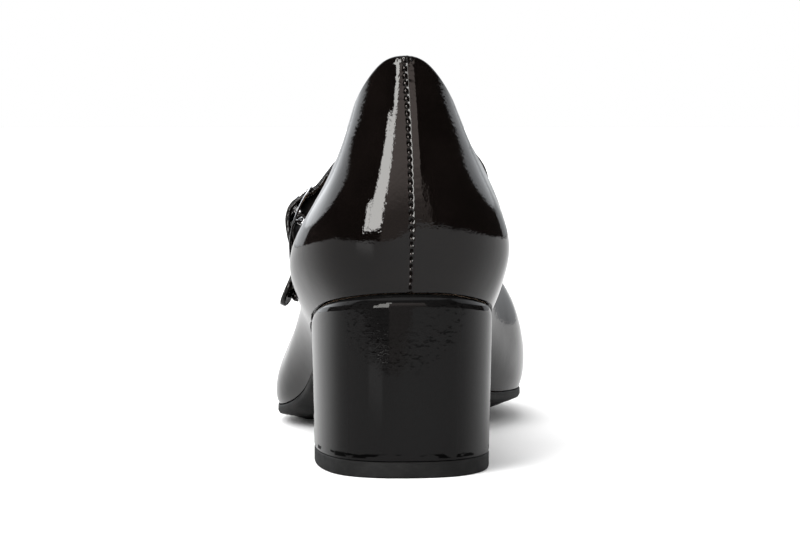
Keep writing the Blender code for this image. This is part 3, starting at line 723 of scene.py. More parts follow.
def ripple(points, scale, seed):
    """Smooth noise from -1 to 1 at each point, one wave about 1 / scale millimetres long."""
    flat = np.asarray(points, float).reshape(-1, 3) * scale + seed * 17.31
    values = [noise.noise(Vector(point)) for point in flat.tolist()]
    return np.array(values).reshape(np.shape(points)[:-1])


def bell(distance, width):
    return np.exp(-(distance / width) ** 2)


def ease_share(value, low, high):
    """Smooth step from 0 at low to 1 at high."""
    share = np.clip((value - low) / (high - low), 0.0, 1.0)
    return share * share * (3.0 - 2.0 * share)


def combine(item, operation, others):
    """Cuts the other bodies out of the piece, or joins them to it, and removes them."""
    for other in others:
        modifier = item.modifiers.new("combine", "BOOLEAN")
        modifier.operation = operation
        modifier.solver = "EXACT"
        modifier.object = other
    mesh = evaluated_mesh(item)
    item.modifiers.clear()
    item.data = mesh
    for other in others:
        bpy.data.objects.remove(other)
    smooth(mesh)


def cutter(name, build, matrix):
    body = bmesh.new()
    build(body)
    bmesh.ops.transform(body, matrix=matrix, verts=body.verts)
    mesh = bpy.data.meshes.new(name)
    body.to_mesh(mesh)
    body.free()
    return placed(name, mesh)


# ---------------------------------------------------------------- upper and lining
def column_places(finest, coarsest):
    """Places round the shoe, crowded together at the back seam."""
    half = half_knots()[-1]
    places = [0.0]
    step = finest
    while places[-1] + step < half:
        places.append(places[-1] + step)
        if places[-1] > SEAM_ZONE:
            step = min(coarsest, step * COLUMN_GROWTH)
    side = np.array(places) * half / places[-1]
    return np.concatenate((side, 2.0 * half - side[-2:0:-1]))


def row_arcs(grid):
    """Distance of every point from the back seam along its row, positive on the inner side."""
    steps = np.linalg.norm(np.roll(grid, -1, axis=0) - grid, axis=2)
    ahead = np.concatenate((np.zeros((1, grid.shape[1])), np.cumsum(steps[:-1], axis=0)))
    behind = ahead[-1] + steps[-1] - ahead
    return np.where(ahead <= behind, -ahead, behind)


def seam_heights(grid):
    """Distance up the back seam from the feather line to every row."""
    return chord_knots(grid[0])


def seam_noise(heights, scale, seed):
    line = np.zeros((len(heights), 3))
    line[:, 2] = heights
    return ripple(line, scale, seed)


def seam_waver(heights):
    """How far the seam's line wanders to the inner side."""
    return SEAM_WAVER * seam_noise(heights, 0.35, 3)


def seam_pits(near, up, pitch):
    """1 in the middle of each stitch's pit, 0 between the pits and at the rim."""
    rim = up[0, -1]
    phase = (up - FIRST_STITCH + 0.5 * pitch) % pitch - 0.5 * pitch
    below_rim = 1.0 - ease_share(up, rim - PIT_RIM_MARGIN, rim)
    return bell(near + PIT_SIDE, PIT_WIDTH) * np.exp(-(phase / PIT_LENGTH) ** 4) * below_rim


def seam_lap(near, heights):
    """The inner quarter's edge laps over the outer one and catches the light."""
    rise = LAP_RISE * (1.0 + 0.3 * seam_noise(heights, 1.05, 5)[None, :])
    start = LAP_START + LAP_WAVER * seam_noise(heights, 0.9, 6)[None, :]
    step = ease_share(near, start, start + LAP_WIDTH)
    return rise * step * (1.0 - ease_share(near, *LAP_FADE))


def seam_relief(grid, pitch, depth):
    """Relief of the closed back seam, and the painted shade that dulls the lacquer in each stitch's
    pit, by how deep in the pit each point lies.
    """
    arc = row_arcs(grid)
    heights = seam_heights(grid)
    up = heights[None, :]
    over_rim = up - heights[-1]
    near = arc - seam_waver(heights)[None, :]
    pits = seam_pits(near, up, pitch)
    relief = -PIT_DEPTH * depth * pits
    relief += seam_lap(near, heights)
    relief += RIDGE_RISE * bell(near - RIDGE_SIDE, RIDGE_WIDTH) * ease_share(up, *RIDGE_UP)
    lean_in = np.logaddexp(0.0, (over_rim + TOP_LEAN_FROM) / TOP_LEAN_EASE) * TOP_LEAN_EASE
    relief -= TOP_LEAN * lean_in * bell(arc, TOP_LEAN_WIDTH)
    relief += KNOB_RISE * bell(arc, KNOB_WIDTH) * bell(over_rim, KNOB_HEIGHT)
    ends = bell(over_rim, PUCKER_RIM_HEIGHT) + PUCKER_FOOT_SHARE * bell(up, PUCKER_FOOT_HEIGHT)
    crowd = bell(arc - PUCKER_SIDE, KNOB_WIDTH) * ends
    relief += PUCKER_RISE * crowd * ripple(grid, 1.15, 7)
    return relief, np.clip(PIT_SHADE * pits, 0.0, 1.0)


def crease_relief(grid):
    """Soft troughs and ridges where the leather has bent with the foot."""
    relief = np.zeros(grid.shape[:2])
    arc = row_arcs(grid)
    for crease in CREASES:
        ahead = np.array((crease.forward_b - crease.forward_a, crease.up_b - crease.up_a))
        length = np.linalg.norm(ahead)
        ahead /= length
        forward = grid[:, :, 1] - crease.forward_a
        up = grid[:, :, 2] - crease.up_a
        along = forward * ahead[0] + up * ahead[1]
        across = up * ahead[0] - forward * ahead[1]
        ends = ease_share(along, -CREASE_OUT, CREASE_IN)
        ends = ends * (1.0 - ease_share(along, length - CREASE_IN, length + CREASE_OUT))
        side = arc * crease.side > 0.0
        relief += crease.depth * bell(across, crease.width) * ends * side
    return relief


def upper_surface():
    """Places round the shoe and the plain outside of the upper over them."""
    places = column_places(SEAM_STEP, COLUMN_STEP)
    return places, wall_surface(places, np.linspace(0.0, 1.0, UPPER_ROWS))


def upper_mesh(name, material, pitch, depth):
    """Outer leather: outside with its reliefs, folded topline, and a plain inner face."""
    places, plain = upper_surface()
    normal = surface_normals(plain)
    relief, pits = seam_relief(plain, pitch, depth)
    relief += crease_relief(plain)
    # slow and finer unevenness of leather drawn over a last
    relief += 0.05 * ripple(plain, 0.06, 1) + 0.012 * ripple(plain, 0.22, 2)
    outer = plain + normal * relief[:, :, None]
    foot = outer[:, 0].copy()
    outer[:, 0] = 0.5 * (outer[:, 0] + outer[:, 1])
    along = rim_direction(plain, normal)
    loops = [outer[:, i] for i in range(UPPER_ROWS)]
    for turn in np.radians(FOLD_TURNS):
        depth_in = 0.5 * LEATHER * (1.0 - math.cos(turn))
        rise = TOPLINE_ROLL * math.sin(turn)
        loops.append(outer[:, -1] - normal[:, -1] * depth_in + along * rise)
    inner = plain - normal * LEATHER
    inner[:, 0] = bottom_inset(places, LEATHER * FOOT_FLARE)
    for i in np.linspace(UPPER_ROWS - 1, 0, INNER_ROWS).astype(int):
        loops.append(inner[:, i])
    # the cut edge under the foot, rounded towards the outside
    edge = bottom_inset(places, CUT_EDGE)
    rounded = bottom_inset(places, CUT_ROUND)
    rounded[:, 2] += 0.5 * (outer[:, 0, 2] - foot[:, 2])
    loops += [edge, rounded]
    # painted shade of the seam's pits, kept on the mesh for the lacquer
    painted_shade = np.zeros((len(loops), len(places)))
    painted_shade[:UPPER_ROWS] = pits.T
    return loops_to_mesh(name, loops, material, True, painted_shade)


def lining_mesh(name, material):
    """Lining: a face hidden against the leather, a rounded rim and the face shown inside."""
    places = column_places(*LINING_STEPS)
    plain = wall_surface(places, np.linspace(0.0, 1.0, LINING_ROWS))
    normal = surface_normals(plain)
    along = rim_direction(plain, normal)
    hidden = plain - normal * (LEATHER + LINING_HIDDEN)
    hidden[:, 0] = bottom_inset(places, (LEATHER + LINING_FOLD) * FOOT_FLARE)
    shown = plain - normal * (WALL + 0.05 * ripple(plain, 0.09, 4))[:, :, None]
    shown[:, 0] = bottom_inset(places, WALL * FOOT_FLARE)
    loops = [hidden[:, i] for i in range(0, LINING_ROWS, 3)]
    for share in (0.15, 0.5, 0.85):
        depth_in = LEATHER + LINING_FOLD + (WALL - LEATHER - LINING_FOLD) * share
        rise = LINING_RIM * math.sin(math.pi * share)
        loops.append(plain[:, -1] - normal[:, -1] * depth_in + along * rise)
    loops += [shown[:, i] for i in range(LINING_ROWS - 1, -1, -1)]
    return loops_to_mesh(name, loops, material, True)


# ---------------------------------------------------------------- insole and outsole
def cosine_shares(steps):
    return 0.5 - 0.5 * np.cos(np.linspace(0.0, math.pi, steps + 1))


def edge_distance(grid):
    """Distance of every point of a sole's grid from the grid's nearest edge."""
    sideways = np.minimum(
        np.linalg.norm(grid - grid[:, :1], axis=2), np.linalg.norm(grid - grid[:, -1:], axis=2))
    lengthways = np.minimum(
        np.linalg.norm(grid - grid[:1], axis=2), np.linalg.norm(grid - grid[-1:], axis=2))
    return np.minimum(sideways, lengthways)


def insole_mesh(name, material):
    """Insole with a rounded edge, a pressed line inside it and a padded middle."""
    across, along = INSOLE_GRID
    shares = cosine_shares(across)
    half = half_knots()[-1]
    places = end_safe_places(INSOLE_END, half - INSOLE_END, along)
    inset = WALL * FOOT_FLARE + GAP + INSOLE_EASE
    low = seat_rows(places, inset, 0.0, shares)
    high = seat_rows(places, inset, INSOLE_FLARE, shares)
    ring = rim_points(high)
    ring[:, 2] += 0.6 * INSOLE_THICK
    away = edge_distance(high)
    drop, reach = INSOLE_ROUND
    high[:, :, 2] += INSOLE_THICK - drop * np.exp(-away / reach)
    depth, place, width = INSOLE_LINE
    high[:, :, 2] -= depth * bell(away - place, width)
    rise, first, last = INSOLE_PAD
    high[:, :, 2] += rise * ease_share(away, first, last) + 0.08 * ripple(high, 0.05, 6)
    return sheet_to_mesh(name, material, high, low, [ring])


def outsole_mesh(name, material):
    """Outsole from the heel's breast to the toe, level where it would dip below the floor."""
    across, along = OUTSOLE_GRID
    shares = cosine_shares(across)
    half = half_knots()[-1]
    places = end_safe_places(breast_place() + GAP, half - OUTSOLE_END, along)
    low = seat_rows(places, SOLE_EDGE_BEVEL, SOLE_WELT, shares)
    low[:, :, 2] -= GAP + SOLE_THICK
    low[:, :, 2] = np.maximum(low[:, :, 2], 0.0)
    away = edge_distance(low)
    forward = low[:, :, 1]
    field = ease_share(away, *TREAD_EDGE) * ease_share(forward, *TREAD_BACK)
    field *= 1.0 - ease_share(forward, *TREAD_FRONT)
    wave = 0.5 + 0.5 * np.cos(2.0 * math.pi * forward / TREAD_PITCH)
    depth, place, width = SOLE_LINE
    low[:, :, 2] += TREAD_DEPTH * field * wave ** 3 + depth * bell(away - place, width)
    rings = []
    for drop, push in SOLE_EDGE:
        ring = rim_points(seat_rows(places, 0.0, SOLE_WELT + push, shares))
        ring[:, 2] = np.maximum(ring[:, 2] - GAP - drop, 0.05)
        rings.append(ring)
    top = seat_rows(places, 0.25, SOLE_WELT, shares)
    top[:, :, 2] -= GAP
    return sheet_to_mesh(name, material, top, low, rings)


# ---------------------------------------------------------------- heel
def rounded_corners(line, reach):
    """Circular smoothing of a closed line; reach is in steps of the line."""
    steps = np.arange(-12, 13)
    weights = np.exp(-0.5 * (steps / reach) ** 2)
    weights /= weights.sum()
    return sum(weight * np.roll(line, -step, axis=0) for step, weight in zip(steps, weights))


def even_points(line, run, even):
    """Points of the line at even places of a run along it."""
    return np.stack([np.interp(even, run, column) for column in line.T], axis=1)


def heel_outlines():
    """Matching closed outlines of the block at the seat and at its base, corners eased."""
    across, along = HEEL_GRID
    shares = cosine_shares(across)
    places = end_safe_places(HEEL_END, breast_place(), along)
    rows = seat_rows(places, 0.0, 0.0, shares)
    rows[:, :, 2] -= GAP
    seat = rim_points(rows)
    base = rim_points(heel_base(rows, HEEL_BASE_UP))
    run = chord_knots(np.vstack((base, base[:1])))
    even = np.linspace(0.0, run[-1], HEEL_POINTS + 1)[:-1]
    return [rounded_corners(even_points(np.vstack((line, line[:1])), run, even), HEEL_CORNER)
            for line in (seat, base)]


def outline_normals(line):
    travel = np.roll(line, -1, axis=0)[:, :2] - np.roll(line, 1, axis=0)[:, :2]
    side = np.stack((travel[:, 1], -travel[:, 0]), axis=1)
    side /= np.linalg.norm(side, axis=1)[:, None]
    middle = line[:, :2].mean(axis=0)
    if np.sum((line[:, :2] - middle) * side) < 0.0:
        side = -side
    return np.column_stack((side, np.zeros(len(line))))


def moved_in(line, distance):
    return line - outline_normals(line) * distance


def shoulder(depth, roll):
    """How far the cover's rolled top edge lies inside its side, by depth below the seat."""
    share = np.clip(depth / SHOULDER_DEPTH, 0.0, 1.0)
    return roll * (1.0 - np.sqrt(1.0 - (1.0 - share) ** 2))


def crinkle_zone(line):
    """0 outside and 1 in the middle of the round patch of crinkles at the top of the back."""
    across, up = CRINKLE_MIDDLE
    reach = ((line[:, 0] - across) / CRINKLE_RADIUS) ** 2
    reach = reach + ((line[:, 2] - up) / CRINKLE_RADIUS) ** 2
    return np.clip(1.0 - np.sqrt(reach), 0.0, 1.0) * (line[:, 1] < CRINKLE_BACK)


def heel_cover_mesh(name, material, crinkle):
    """Leather cover: rolled top edge, side down to the top piece, a closing face at each end."""
    seat, base = heel_outlines()
    backward = np.clip(-outline_normals(seat)[:, 1], 0.0, 1.0)[:, None]
    roll = SHOULDER_ROLL + SHOULDER_BACK * backward[:, 0]
    seat = seat + outline_normals(seat) * SHOULDER_BACK * backward
    cap = moved_in(seat, CAP_INSET)
    cap[:, 2] -= CAP_DROP
    loops = [cap]
    travel = base - seat
    fine = np.linspace(0.0, SHOULDER_SHARE, SHOULDER_ROWS)[:-1]
    for share in np.concatenate((fine, np.linspace(SHOULDER_SHARE, 1.0, SIDE_ROWS))):
        ease = share - HEEL_WAIST * math.sin(math.pi * share) * (1.0 - share)
        line = seat + travel * np.array((ease, ease, share))
        inset = shoulder(seat[:, 2] - line[:, 2], roll)
        inset += 0.10 * ease_share(share, 0.985, 1.0)
        marks = ripple(line * (1.0, 1.0, 2.4), 0.42, 8)
        marks = marks + 0.6 * ripple(line * (1.0, 1.0, 2.0), 1.1, 9)
        zone = crinkle_zone(line)
        band = ease_share(zone, 0.0, 0.10) * (1.0 - 0.6 * ease_share(zone, 0.25, 0.6))
        inset += crinkle * band * marks + 0.010 * ripple(line, 0.08, 10)
        loops.append(line - outline_normals(line) * inset[:, None])
    loops.append(moved_in(base, TUCK_IN))
    return loops_to_mesh(name, loops, material, False)


def top_piece_mesh(name, material):
    base = heel_outlines()[1]
    loops = []
    for inset, up in TOP_PIECE_RINGS:
        line = moved_in(base, inset)
        line[:, 2] = up
        loops.append(line)
    return loops_to_mesh(name, loops, material, False)


# ---------------------------------------------------------------- strap, tab and buckle
def band_width(run, total, width, root_radius, tip_length):
    """Width of a band at each distance along it: eased corners at its root, a round tip."""
    half = np.full(len(run), 0.5 * width)
    if root_radius > 0.0:
        short = np.clip(1.0 - run / root_radius, 0.0, 1.0)
        half -= root_radius * (1.0 - np.sqrt(1.0 - short ** 2))
    if tip_length > 0.0:
        past = np.clip((run - (total - tip_length)) / tip_length, 0.0, 0.9985)
        half *= np.sqrt(1.0 - past ** 2.3)
    return 2.0 * half


def turned_outline(half, low, high, puff):
    """Section of a band with turned edges: pairs of (along, lift), once round."""
    radius = min(0.5 * (high - low), half)
    flat = half - radius
    middle = 0.5 * (high + low)
    outline = []
    for share in np.linspace(-1.0, 1.0, 13):
        along = flat * share
        away = half - abs(along)
        swell = puff * math.exp(-((away - 0.9) / 0.55) ** 2)
        pressed = 0.8 * puff * math.exp(-((away - STITCH_EDGE) / 0.35) ** 2)
        outline.append((along, high + (swell - pressed)))
    for turn in np.radians((60.0, 30.0, 0.0, -30.0, -60.0)):
        outline.append((flat + radius * math.cos(turn), middle + radius * math.sin(turn)))
    for share in np.linspace(1.0, -1.0, 7):
        outline.append((flat * share, low))
    for turn in np.radians((-120.0, -150.0, 180.0, 150.0, 120.0)):
        outline.append((-flat + radius * math.cos(turn), middle + radius * math.sin(turn)))
    return np.array(outline)


Band = namedtuple("Band", "points normals run lean")


def band_frame(table, steps, lean=LEVEL):
    """A path seen from behind: its points, outward normals, run, and lean of its front edge."""
    points = path_points(table, steps)
    run = chord_knots(points)
    return Band(points, path_normals(points), run, np.interp(run[-1] - run, *lean))


def place_on_band(band, index, along, lift):
    lift = lift + along * band.lean[index]
    x, z = band.points[index] + band.normals[index] * lift
    return np.array((x, STRAP_FORWARD + along, z))


def square_directions(normals):
    """A band's outward normals as directions in space."""
    return np.column_stack((normals[:, 0], np.zeros(len(normals)), normals[:, 1]))


def band_mesh(name, material, band, widths, low, high, puff, crinkle):
    """Band with turned edges from low to high of its middle line, crinkled along both edges."""
    halves = 0.5 * widths
    outlines = [turned_outline(max(half, BAND_NARROWEST), low, high, puff) for half in halves]
    loops = np.array([
        [place_on_band(band, index, along, lift) for along, lift in outline]
        for index, outline in enumerate(outlines)])
    edge = bell(halves[:, None] - np.abs(np.array(outlines)[:, :, 0]), 1.3)
    push = crinkle * edge * ripple(loops, 0.75, 11)
    loops[:, :, 0] += push * band.normals[:, None, 0]
    loops[:, :, 2] += push * band.normals[:, None, 1]
    loops[:, :, 1] += 0.7 * crinkle * edge * ripple(loops, 0.9, 12)
    return loops_to_mesh(name, list(loops), material, False)


def hole_cutter(name, band, distance, radius, depth):
    """Round punch, square to the band at a distance along it."""
    index = int(np.argmin(np.abs(band.run - distance)))
    middle = place_on_band(band, index, 0.0, 0.0)
    middle[1] -= TOP_PIECE_MIDDLE
    across, up = band.normals[index]
    turn = Vector((across, 0.0, up)).to_track_quat("Z", "Y").to_matrix().to_4x4()
    turn.translation = Vector(middle) * MM

    def build(body):
        bmesh.ops.create_cone(
            body, cap_ends=True, segments=28, radius1=radius * MM, radius2=radius * MM,
            depth=depth * MM)
    return cutter(name, build, turn)


def slot_cutter(name, middle, size):
    """Box punch with its sides along the axes."""
    place = Vector((middle[0], middle[1] - TOP_PIECE_MIDDLE, middle[2])) * MM
    matrix = Matrix.Translation(place) @ Matrix.Diagonal(
        (size[0] * MM, size[1] * MM, size[2] * MM, 1.0))
    return cutter(name, lambda body: bmesh.ops.create_cube(body, size=1.0), matrix)


def stitch_line(band, widths, start, stop, lift):
    """Stitch path down one side of a band and back up the other, with its outward directions."""
    left, right, lifts = [], [], []
    for index, (run, width) in enumerate(zip(band.run, widths)):
        half = 0.5 * width - STITCH_EDGE
        if run < start or run > stop or half < 0.1:
            continue
        left.append(place_on_band(band, index, -half, lift))
        right.append(place_on_band(band, index, half, lift))
        lifts.append((band.normals[index, 0], 0.0, band.normals[index, 1]))
    return np.array(left + right[::-1]), np.array(lifts + lifts[::-1])


def buckle_outline():
    """Even points round the buckle: distance down its side and distance along the shoe."""
    length = chord_knots(path_points(FRAME_SIDE, FRAME_STEPS))[-1]
    low = length - BUCKLE_CORNER
    ahead = 0.5 * FRAME_WIDTH - RAIL_INSET - BUCKLE_CORNER
    centres = ((low, ahead, 0.0), (BUCKLE_CORNER, ahead, 90.0),
               (BUCKLE_CORNER, -ahead, 180.0), (low, -ahead, 270.0))
    line = []
    for down, along, first in centres:
        for turn in np.radians(np.linspace(first, first + 90.0, 10)):
            line.append((down + BUCKLE_CORNER * math.cos(turn),
                         along + BUCKLE_CORNER * math.sin(turn)))
    line = np.array(line + line[:1])
    run = chord_knots(line)
    even = np.linspace(0.0, run[-1], int(run[-1] / BUCKLE_STEP) + 1)[:-1]
    return even_points(line, run, even)


def oval_tube(name, material, path, lifts, wide, thick, ring, sides=20):
    """Bar of oval section along a path; lifts gives the thin direction at each point."""
    if ring:
        ahead = np.roll(path, -1, axis=0) - np.roll(path, 1, axis=0)
    else:
        ahead = np.gradient(path, axis=0)
    ahead /= np.linalg.norm(ahead, axis=1)[:, None]
    lifts = lifts - ahead * np.sum(lifts * ahead, axis=1)[:, None]
    lifts /= np.linalg.norm(lifts, axis=1)[:, None]
    sideways = np.cross(ahead, lifts)
    wide = np.broadcast_to(wide, len(path))
    thick = np.broadcast_to(thick, len(path))
    turns = np.linspace(0.0, 2.0 * math.pi, sides + 1)[:-1]
    loops = []
    for index in range(len(path)):
        loops.append(
            path[index] + np.outer(np.cos(turns) * wide[index], sideways[index])
            + np.outer(np.sin(turns) * thick[index], lifts[index]))
    return loops_to_mesh(name, loops, material, ring)


def buckle_bar_path(across):
    """Path of the bar from rail to rail, standing in from the frame's side at the same height."""
    half = 0.5 * FRAME_WIDTH - RAIL_INSET
    ends = ((across, half), (0.5 * (across + BAR.across), half - 0.35), (BAR.across, half - 1.4))
    path = [(place, -along, BAR.up) for place, along in ends]
    path += [(place, along, BAR.up) for place, along in reversed(ends)]
    return np.array(path) + (0.0, STRAP_FORWARD, 0.0)


def buckle_ring_mesh(name, material):
    """Rounded frame, curved like its side, and the bar that the tab and the prong turn on."""
    side = band_frame(FRAME_SIDE, FRAME_STEPS)
    path = []
    lifts = []
    for down, along in buckle_outline():
        index = int(np.clip(np.searchsorted(side.run, down), 0, len(side.run) - 1))
        path.append((side.points[index, 0], STRAP_FORWARD + along, side.points[index, 1]))
        lifts.append((side.normals[index, 0], 0.0, side.normals[index, 1]))
    path = rounded_corners(np.array(path), RAIL_SMOOTHING)
    ring = oval_tube(name, material, path, np.array(lifts), RAIL_WIDE, RAIL_THICK, True)
    level = int(np.argmin(np.abs(side.points[:, 1] - BAR.up)))
    line = buckle_bar_path(side.points[level, 0])
    bar = oval_tube("bar", material, line, np.tile((1.0, 0.0, 0.0), (len(line), 1)),
                    LOOK_BAR, LOOK_BAR, False)
    combine(ring, "UNION", [bar])
    return ring


def prong_mesh(name, material):
    """Prong: its eye round the bar, then a taper through the strap's hole to the rail."""
    reach = BAR_RADIUS + EYE_ROOM + PRONG_RADIUS
    table = []
    for turn in map(math.radians, EYE_TURNS):
        table.append((BAR.across + reach * math.cos(turn), BAR.up + reach * math.sin(turn)))
    band = band_frame(table + list(PRONG_LIE), PRONG_STEPS)
    path = square_directions(band.points)
    path[:, 1] = STRAP_FORWARD
    left = band.run[-1] - band.run
    taper = np.sqrt(1.0 - np.clip(1.0 - left / 0.9, 0.0, 0.995) ** 2)
    start = np.sqrt(1.0 - np.clip(1.0 - band.run / 0.4, 0.0, 0.995) ** 2)
    thick = LOOK_PRONG * (1.0 - 0.22 * ease_share(-left, -5.0, 0.0)) * taper * start
    return oval_tube(name, material, path, square_directions(band.normals),
                     LOOK_PRONG * taper * start, thick, False, 18)


# ---------------------------------------------------------------- stitches
def stitch_tree(name, material):
    """Node tree that lays half-sunk stitches along a line of edges, facing its lift attribute."""
    tree = bpy.data.node_groups.new(name, "GeometryNodeTree")
    sockets = tree.interface
    sockets.new_socket("Line", in_out="INPUT", socket_type="NodeSocketGeometry")
    for label, value in (("Pitch", 0.0022), ("Stitch Length", 0.0016), ("Thread Width", 0.00045),
                         ("Thread Height", 0.0004)):
        socket = sockets.new_socket(label, in_out="INPUT", socket_type="NodeSocketFloat")
        socket.default_value = value
        socket.subtype = "DISTANCE"
    sockets.new_socket("Stitches", in_out="OUTPUT", socket_type="NodeSocketGeometry")
    nodes = tree.nodes
    start = nodes.new("NodeGroupInput")
    end = nodes.new("NodeGroupOutput")
    curve = nodes.new("GeometryNodeMeshToCurve")
    resample = nodes.new("GeometryNodeResampleCurve")
    resample.mode = "LENGTH"
    tangent = nodes.new("GeometryNodeInputTangent")
    lift = nodes.new("GeometryNodeInputNamedAttribute")
    lift.data_type = "FLOAT_VECTOR"
    lift.inputs["Name"].default_value = "lift"
    ahead = nodes.new("FunctionNodeAlignRotationToVector")
    ahead.axis = "X"
    upright = nodes.new("FunctionNodeAlignRotationToVector")
    upright.axis = "Z"
    upright.pivot_axis = "X"
    bead = nodes.new("GeometryNodeMeshUVSphere")
    bead.inputs["Segments"].default_value = 8
    bead.inputs["Rings"].default_value = 6
    bead.inputs["Radius"].default_value = 0.5
    size = nodes.new("ShaderNodeCombineXYZ")
    spread = nodes.new("GeometryNodeInstanceOnPoints")
    real = nodes.new("GeometryNodeRealizeInstances")
    paint = nodes.new("GeometryNodeSetMaterial")
    paint.inputs["Material"].default_value = material
    for source, result, target, entry in (
            (start, "Line", curve, "Mesh"),
            (curve, "Curve", resample, "Curve"),
            (start, "Pitch", resample, "Length"),
            (resample, "Curve", spread, "Points"),
            (tangent, "Tangent", ahead, "Vector"),
            (ahead, "Rotation", upright, "Rotation"),
            (lift, "Attribute", upright, "Vector"),
            (upright, "Rotation", spread, "Rotation"),
            (bead, "Mesh", spread, "Instance"),
            (start, "Stitch Length", size, "X"),
            (start, "Thread Width", size, "Y"),
            (start, "Thread Height", size, "Z"),
            (size, "Vector", spread, "Scale"),
            (spread, "Instances", real, "Geometry"),
            (real, "Geometry", paint, "Geometry"),
            (paint, "Geometry", end, "Stitches")):
        tree.links.new(source.outputs[result], target.inputs[entry])
    return tree


def stitched(name, tree, path, lifts, pitch, length, width, height):
    """Runs the stitch tree over a path, sizes in millimetres, and keeps a plain mesh."""
    values = {"Pitch": pitch, "Stitch Length": length, "Thread Width": width,
              "Thread Height": height}
    line = bpy.data.meshes.new(name + "_line")
    edges = [(k, k + 1) for k in range(len(path) - 1)]
    line.from_pydata(in_metres(path).tolist(), edges, [])
    lift = line.attributes.new("lift", "FLOAT_VECTOR", "POINT")
    lift.data.foreach_set("vector", np.asarray(lifts, float).ravel())
    holder = placed(name + "_line", line)
    modifier = holder.modifiers.new("stitches", "NODES")
    modifier.node_group = tree
    for socket in tree.interface.items_tree:
        if socket.in_out == "INPUT" and socket.name in values:
            modifier[socket.identifier] = values[socket.name] * MM
    mesh = evaluated_mesh(holder)
    mesh.name = name
    bpy.data.objects.remove(holder)
    mesh.shade_smooth()
    return placed(name, mesh)


def back_seam_path():
    """Line of the back seam in the bottom of its groove, with the outward direction."""
    _, grid = upper_surface()
    normal = surface_normals(grid)[0]
    up = seam_heights(grid)
    sideways = np.array((1.0, 0.0, 0.0))
    path = grid[0] - normal * THREAD_SINK
    path = path + (seam_waver(up)[:, None] + THREAD_SIDE) * sideways
    low, high = THREAD_FREE
    keep = (up > FIRST_STITCH + low) & (up < up[-1] - high)
    return path[keep], normal[keep]


# ---------------------------------------------------------------- finishes
class Nodes:
    """Short-hand for laying out a node tree."""

    def __init__(self, tree):
        self.tree = tree

    def node(self, kind, result, entries, **settings):
        """A new node's result; each entry is linked when it is a socket and else set."""
        node = self.tree.nodes.new(kind)
        for label, value in settings.items():
            setattr(node, label, value)
        for label, value in entries.items():
            if isinstance(value, bpy.types.NodeSocket):
                self.tree.links.new(value, node.inputs[label])
            else:
                node.inputs[label].default_value = value
        return node.outputs[result]

    def ranged(self, value, low, high, out_low=0.0, out_high=1.0):
        entries = {"Value": value, "From Min": low, "From Max": high, "To Min": out_low,
                   "To Max": out_high}
        return self.node("ShaderNodeMapRange", "Result", entries, interpolation_type="SMOOTHSTEP")

    def math(self, operation, first, second):
        return self.node("ShaderNodeMath", "Value", {0: first, 1: second}, operation=operation)

    def times(self, first, second):
        return self.math("MULTIPLY", first, second)

    def plus(self, first, second):
        return self.math("ADD", first, second)

    def larger(self, first, second):
        return self.math("MAXIMUM", first, second)

    def over(self, first, second):
        return self.math("DIVIDE", first, second)

    def ray(self, label):
        """1 for rays of that kind, 0 for others."""
        return self.node("ShaderNodeLightPath", label, {})


class Finish(Nodes):
    """A material, its shader, and patterns laid out on its object's own coordinates."""

    def __init__(self, name):
        self.material = bpy.data.materials.new(name)
        self.material.use_nodes = True
        super().__init__(self.material.node_tree)
        self.shader = self.tree.nodes["Principled BSDF"]
        self.place = self.node("ShaderNodeTexCoord", "Object", {})

    def put(self, **values):
        for label, value in values.items():
            self.shader.inputs[label.replace("_", " ")].default_value = value

    def feed(self, label, socket):
        self.tree.links.new(socket, self.shader.inputs[label])

    def mapped(self, location, scale):
        return self.node("ShaderNodeMapping", "Vector", {
            "Vector": self.place, "Location": location, "Scale": scale})

    def noise(self, scale, detail, vector=None, rough=0.5):
        return self.node("ShaderNodeTexNoise", "Fac", {
            "Vector": vector or self.place, "Scale": scale, "Detail": detail,
            "Roughness": rough})

    def patches(self, scale, detail, low, high):
        """Soft-edged noise from 0 to 1."""
        return self.ranged(self.noise(scale, detail), low, high)

    def cells(self, scale):
        return self.node("ShaderNodeTexVoronoi", "Distance", {
            "Vector": self.place, "Scale": scale}, feature="F1")

    def own(self, label):
        return self.node("ShaderNodeAttribute", "Fac", {}, attribute_name=label)

    def length(self, vector):
        return self.node("ShaderNodeVectorMath", "Value", {0: vector}, operation="LENGTH")

    def axis(self, label):
        return self.node("ShaderNodeSeparateXYZ", label, {"Vector": self.place})

    def blend(self, share, first, second):
        return self.node("ShaderNodeMix", "Result", {
            "Factor": share, "A": (*first, 1.0), "B": (*second, 1.0)}, data_type="RGBA")

    def mottle(self, share, first, second):
        """Base colour that wanders between the two."""
        self.feed("Base Color", self.blend(share, first, second))

    def scaled(self, colour, share):
        return self.node("ShaderNodeVectorMath", "Vector", {0: colour, "Scale": share},
                         operation="SCALE")

    def bump(self, height, distance, below=None):
        entries = {"Height": height, "Distance": distance, "Strength": 1.0}
        if below is not None:
            entries["Normal"] = below
        return self.node("ShaderNodeBump", "Normal", entries)


def darker(colour, share):
    return tuple(channel * share for channel in colour)


def patent_base(name, colour, gloss, grain, swell):
    """Lacquered leather: dark tinted base under a mirror-like coat with a faint orange peel."""
    finish = Finish(name)
    finish.put(Roughness=0.34, Coat_Weight=1.0, Coat_Roughness=gloss, Coat_IOR=COAT_INDEX)
    finish.put(Specular_IOR_Level=0.0)
    finish.mottle(finish.patches(60.0, 2.0, 0.3, 0.7), darker(colour, 0.75), darker(colour, 1.2))
    relief = finish.bump(finish.noise(230.0, 2.0), swell)
    relief = finish.bump(finish.noise(1150.0, 2.0), grain, relief)
    return finish, relief


def coat_relief(finish, relief):
    finish.feed("Normal", relief)
    finish.feed("Coat Normal", relief)
    return finish.material


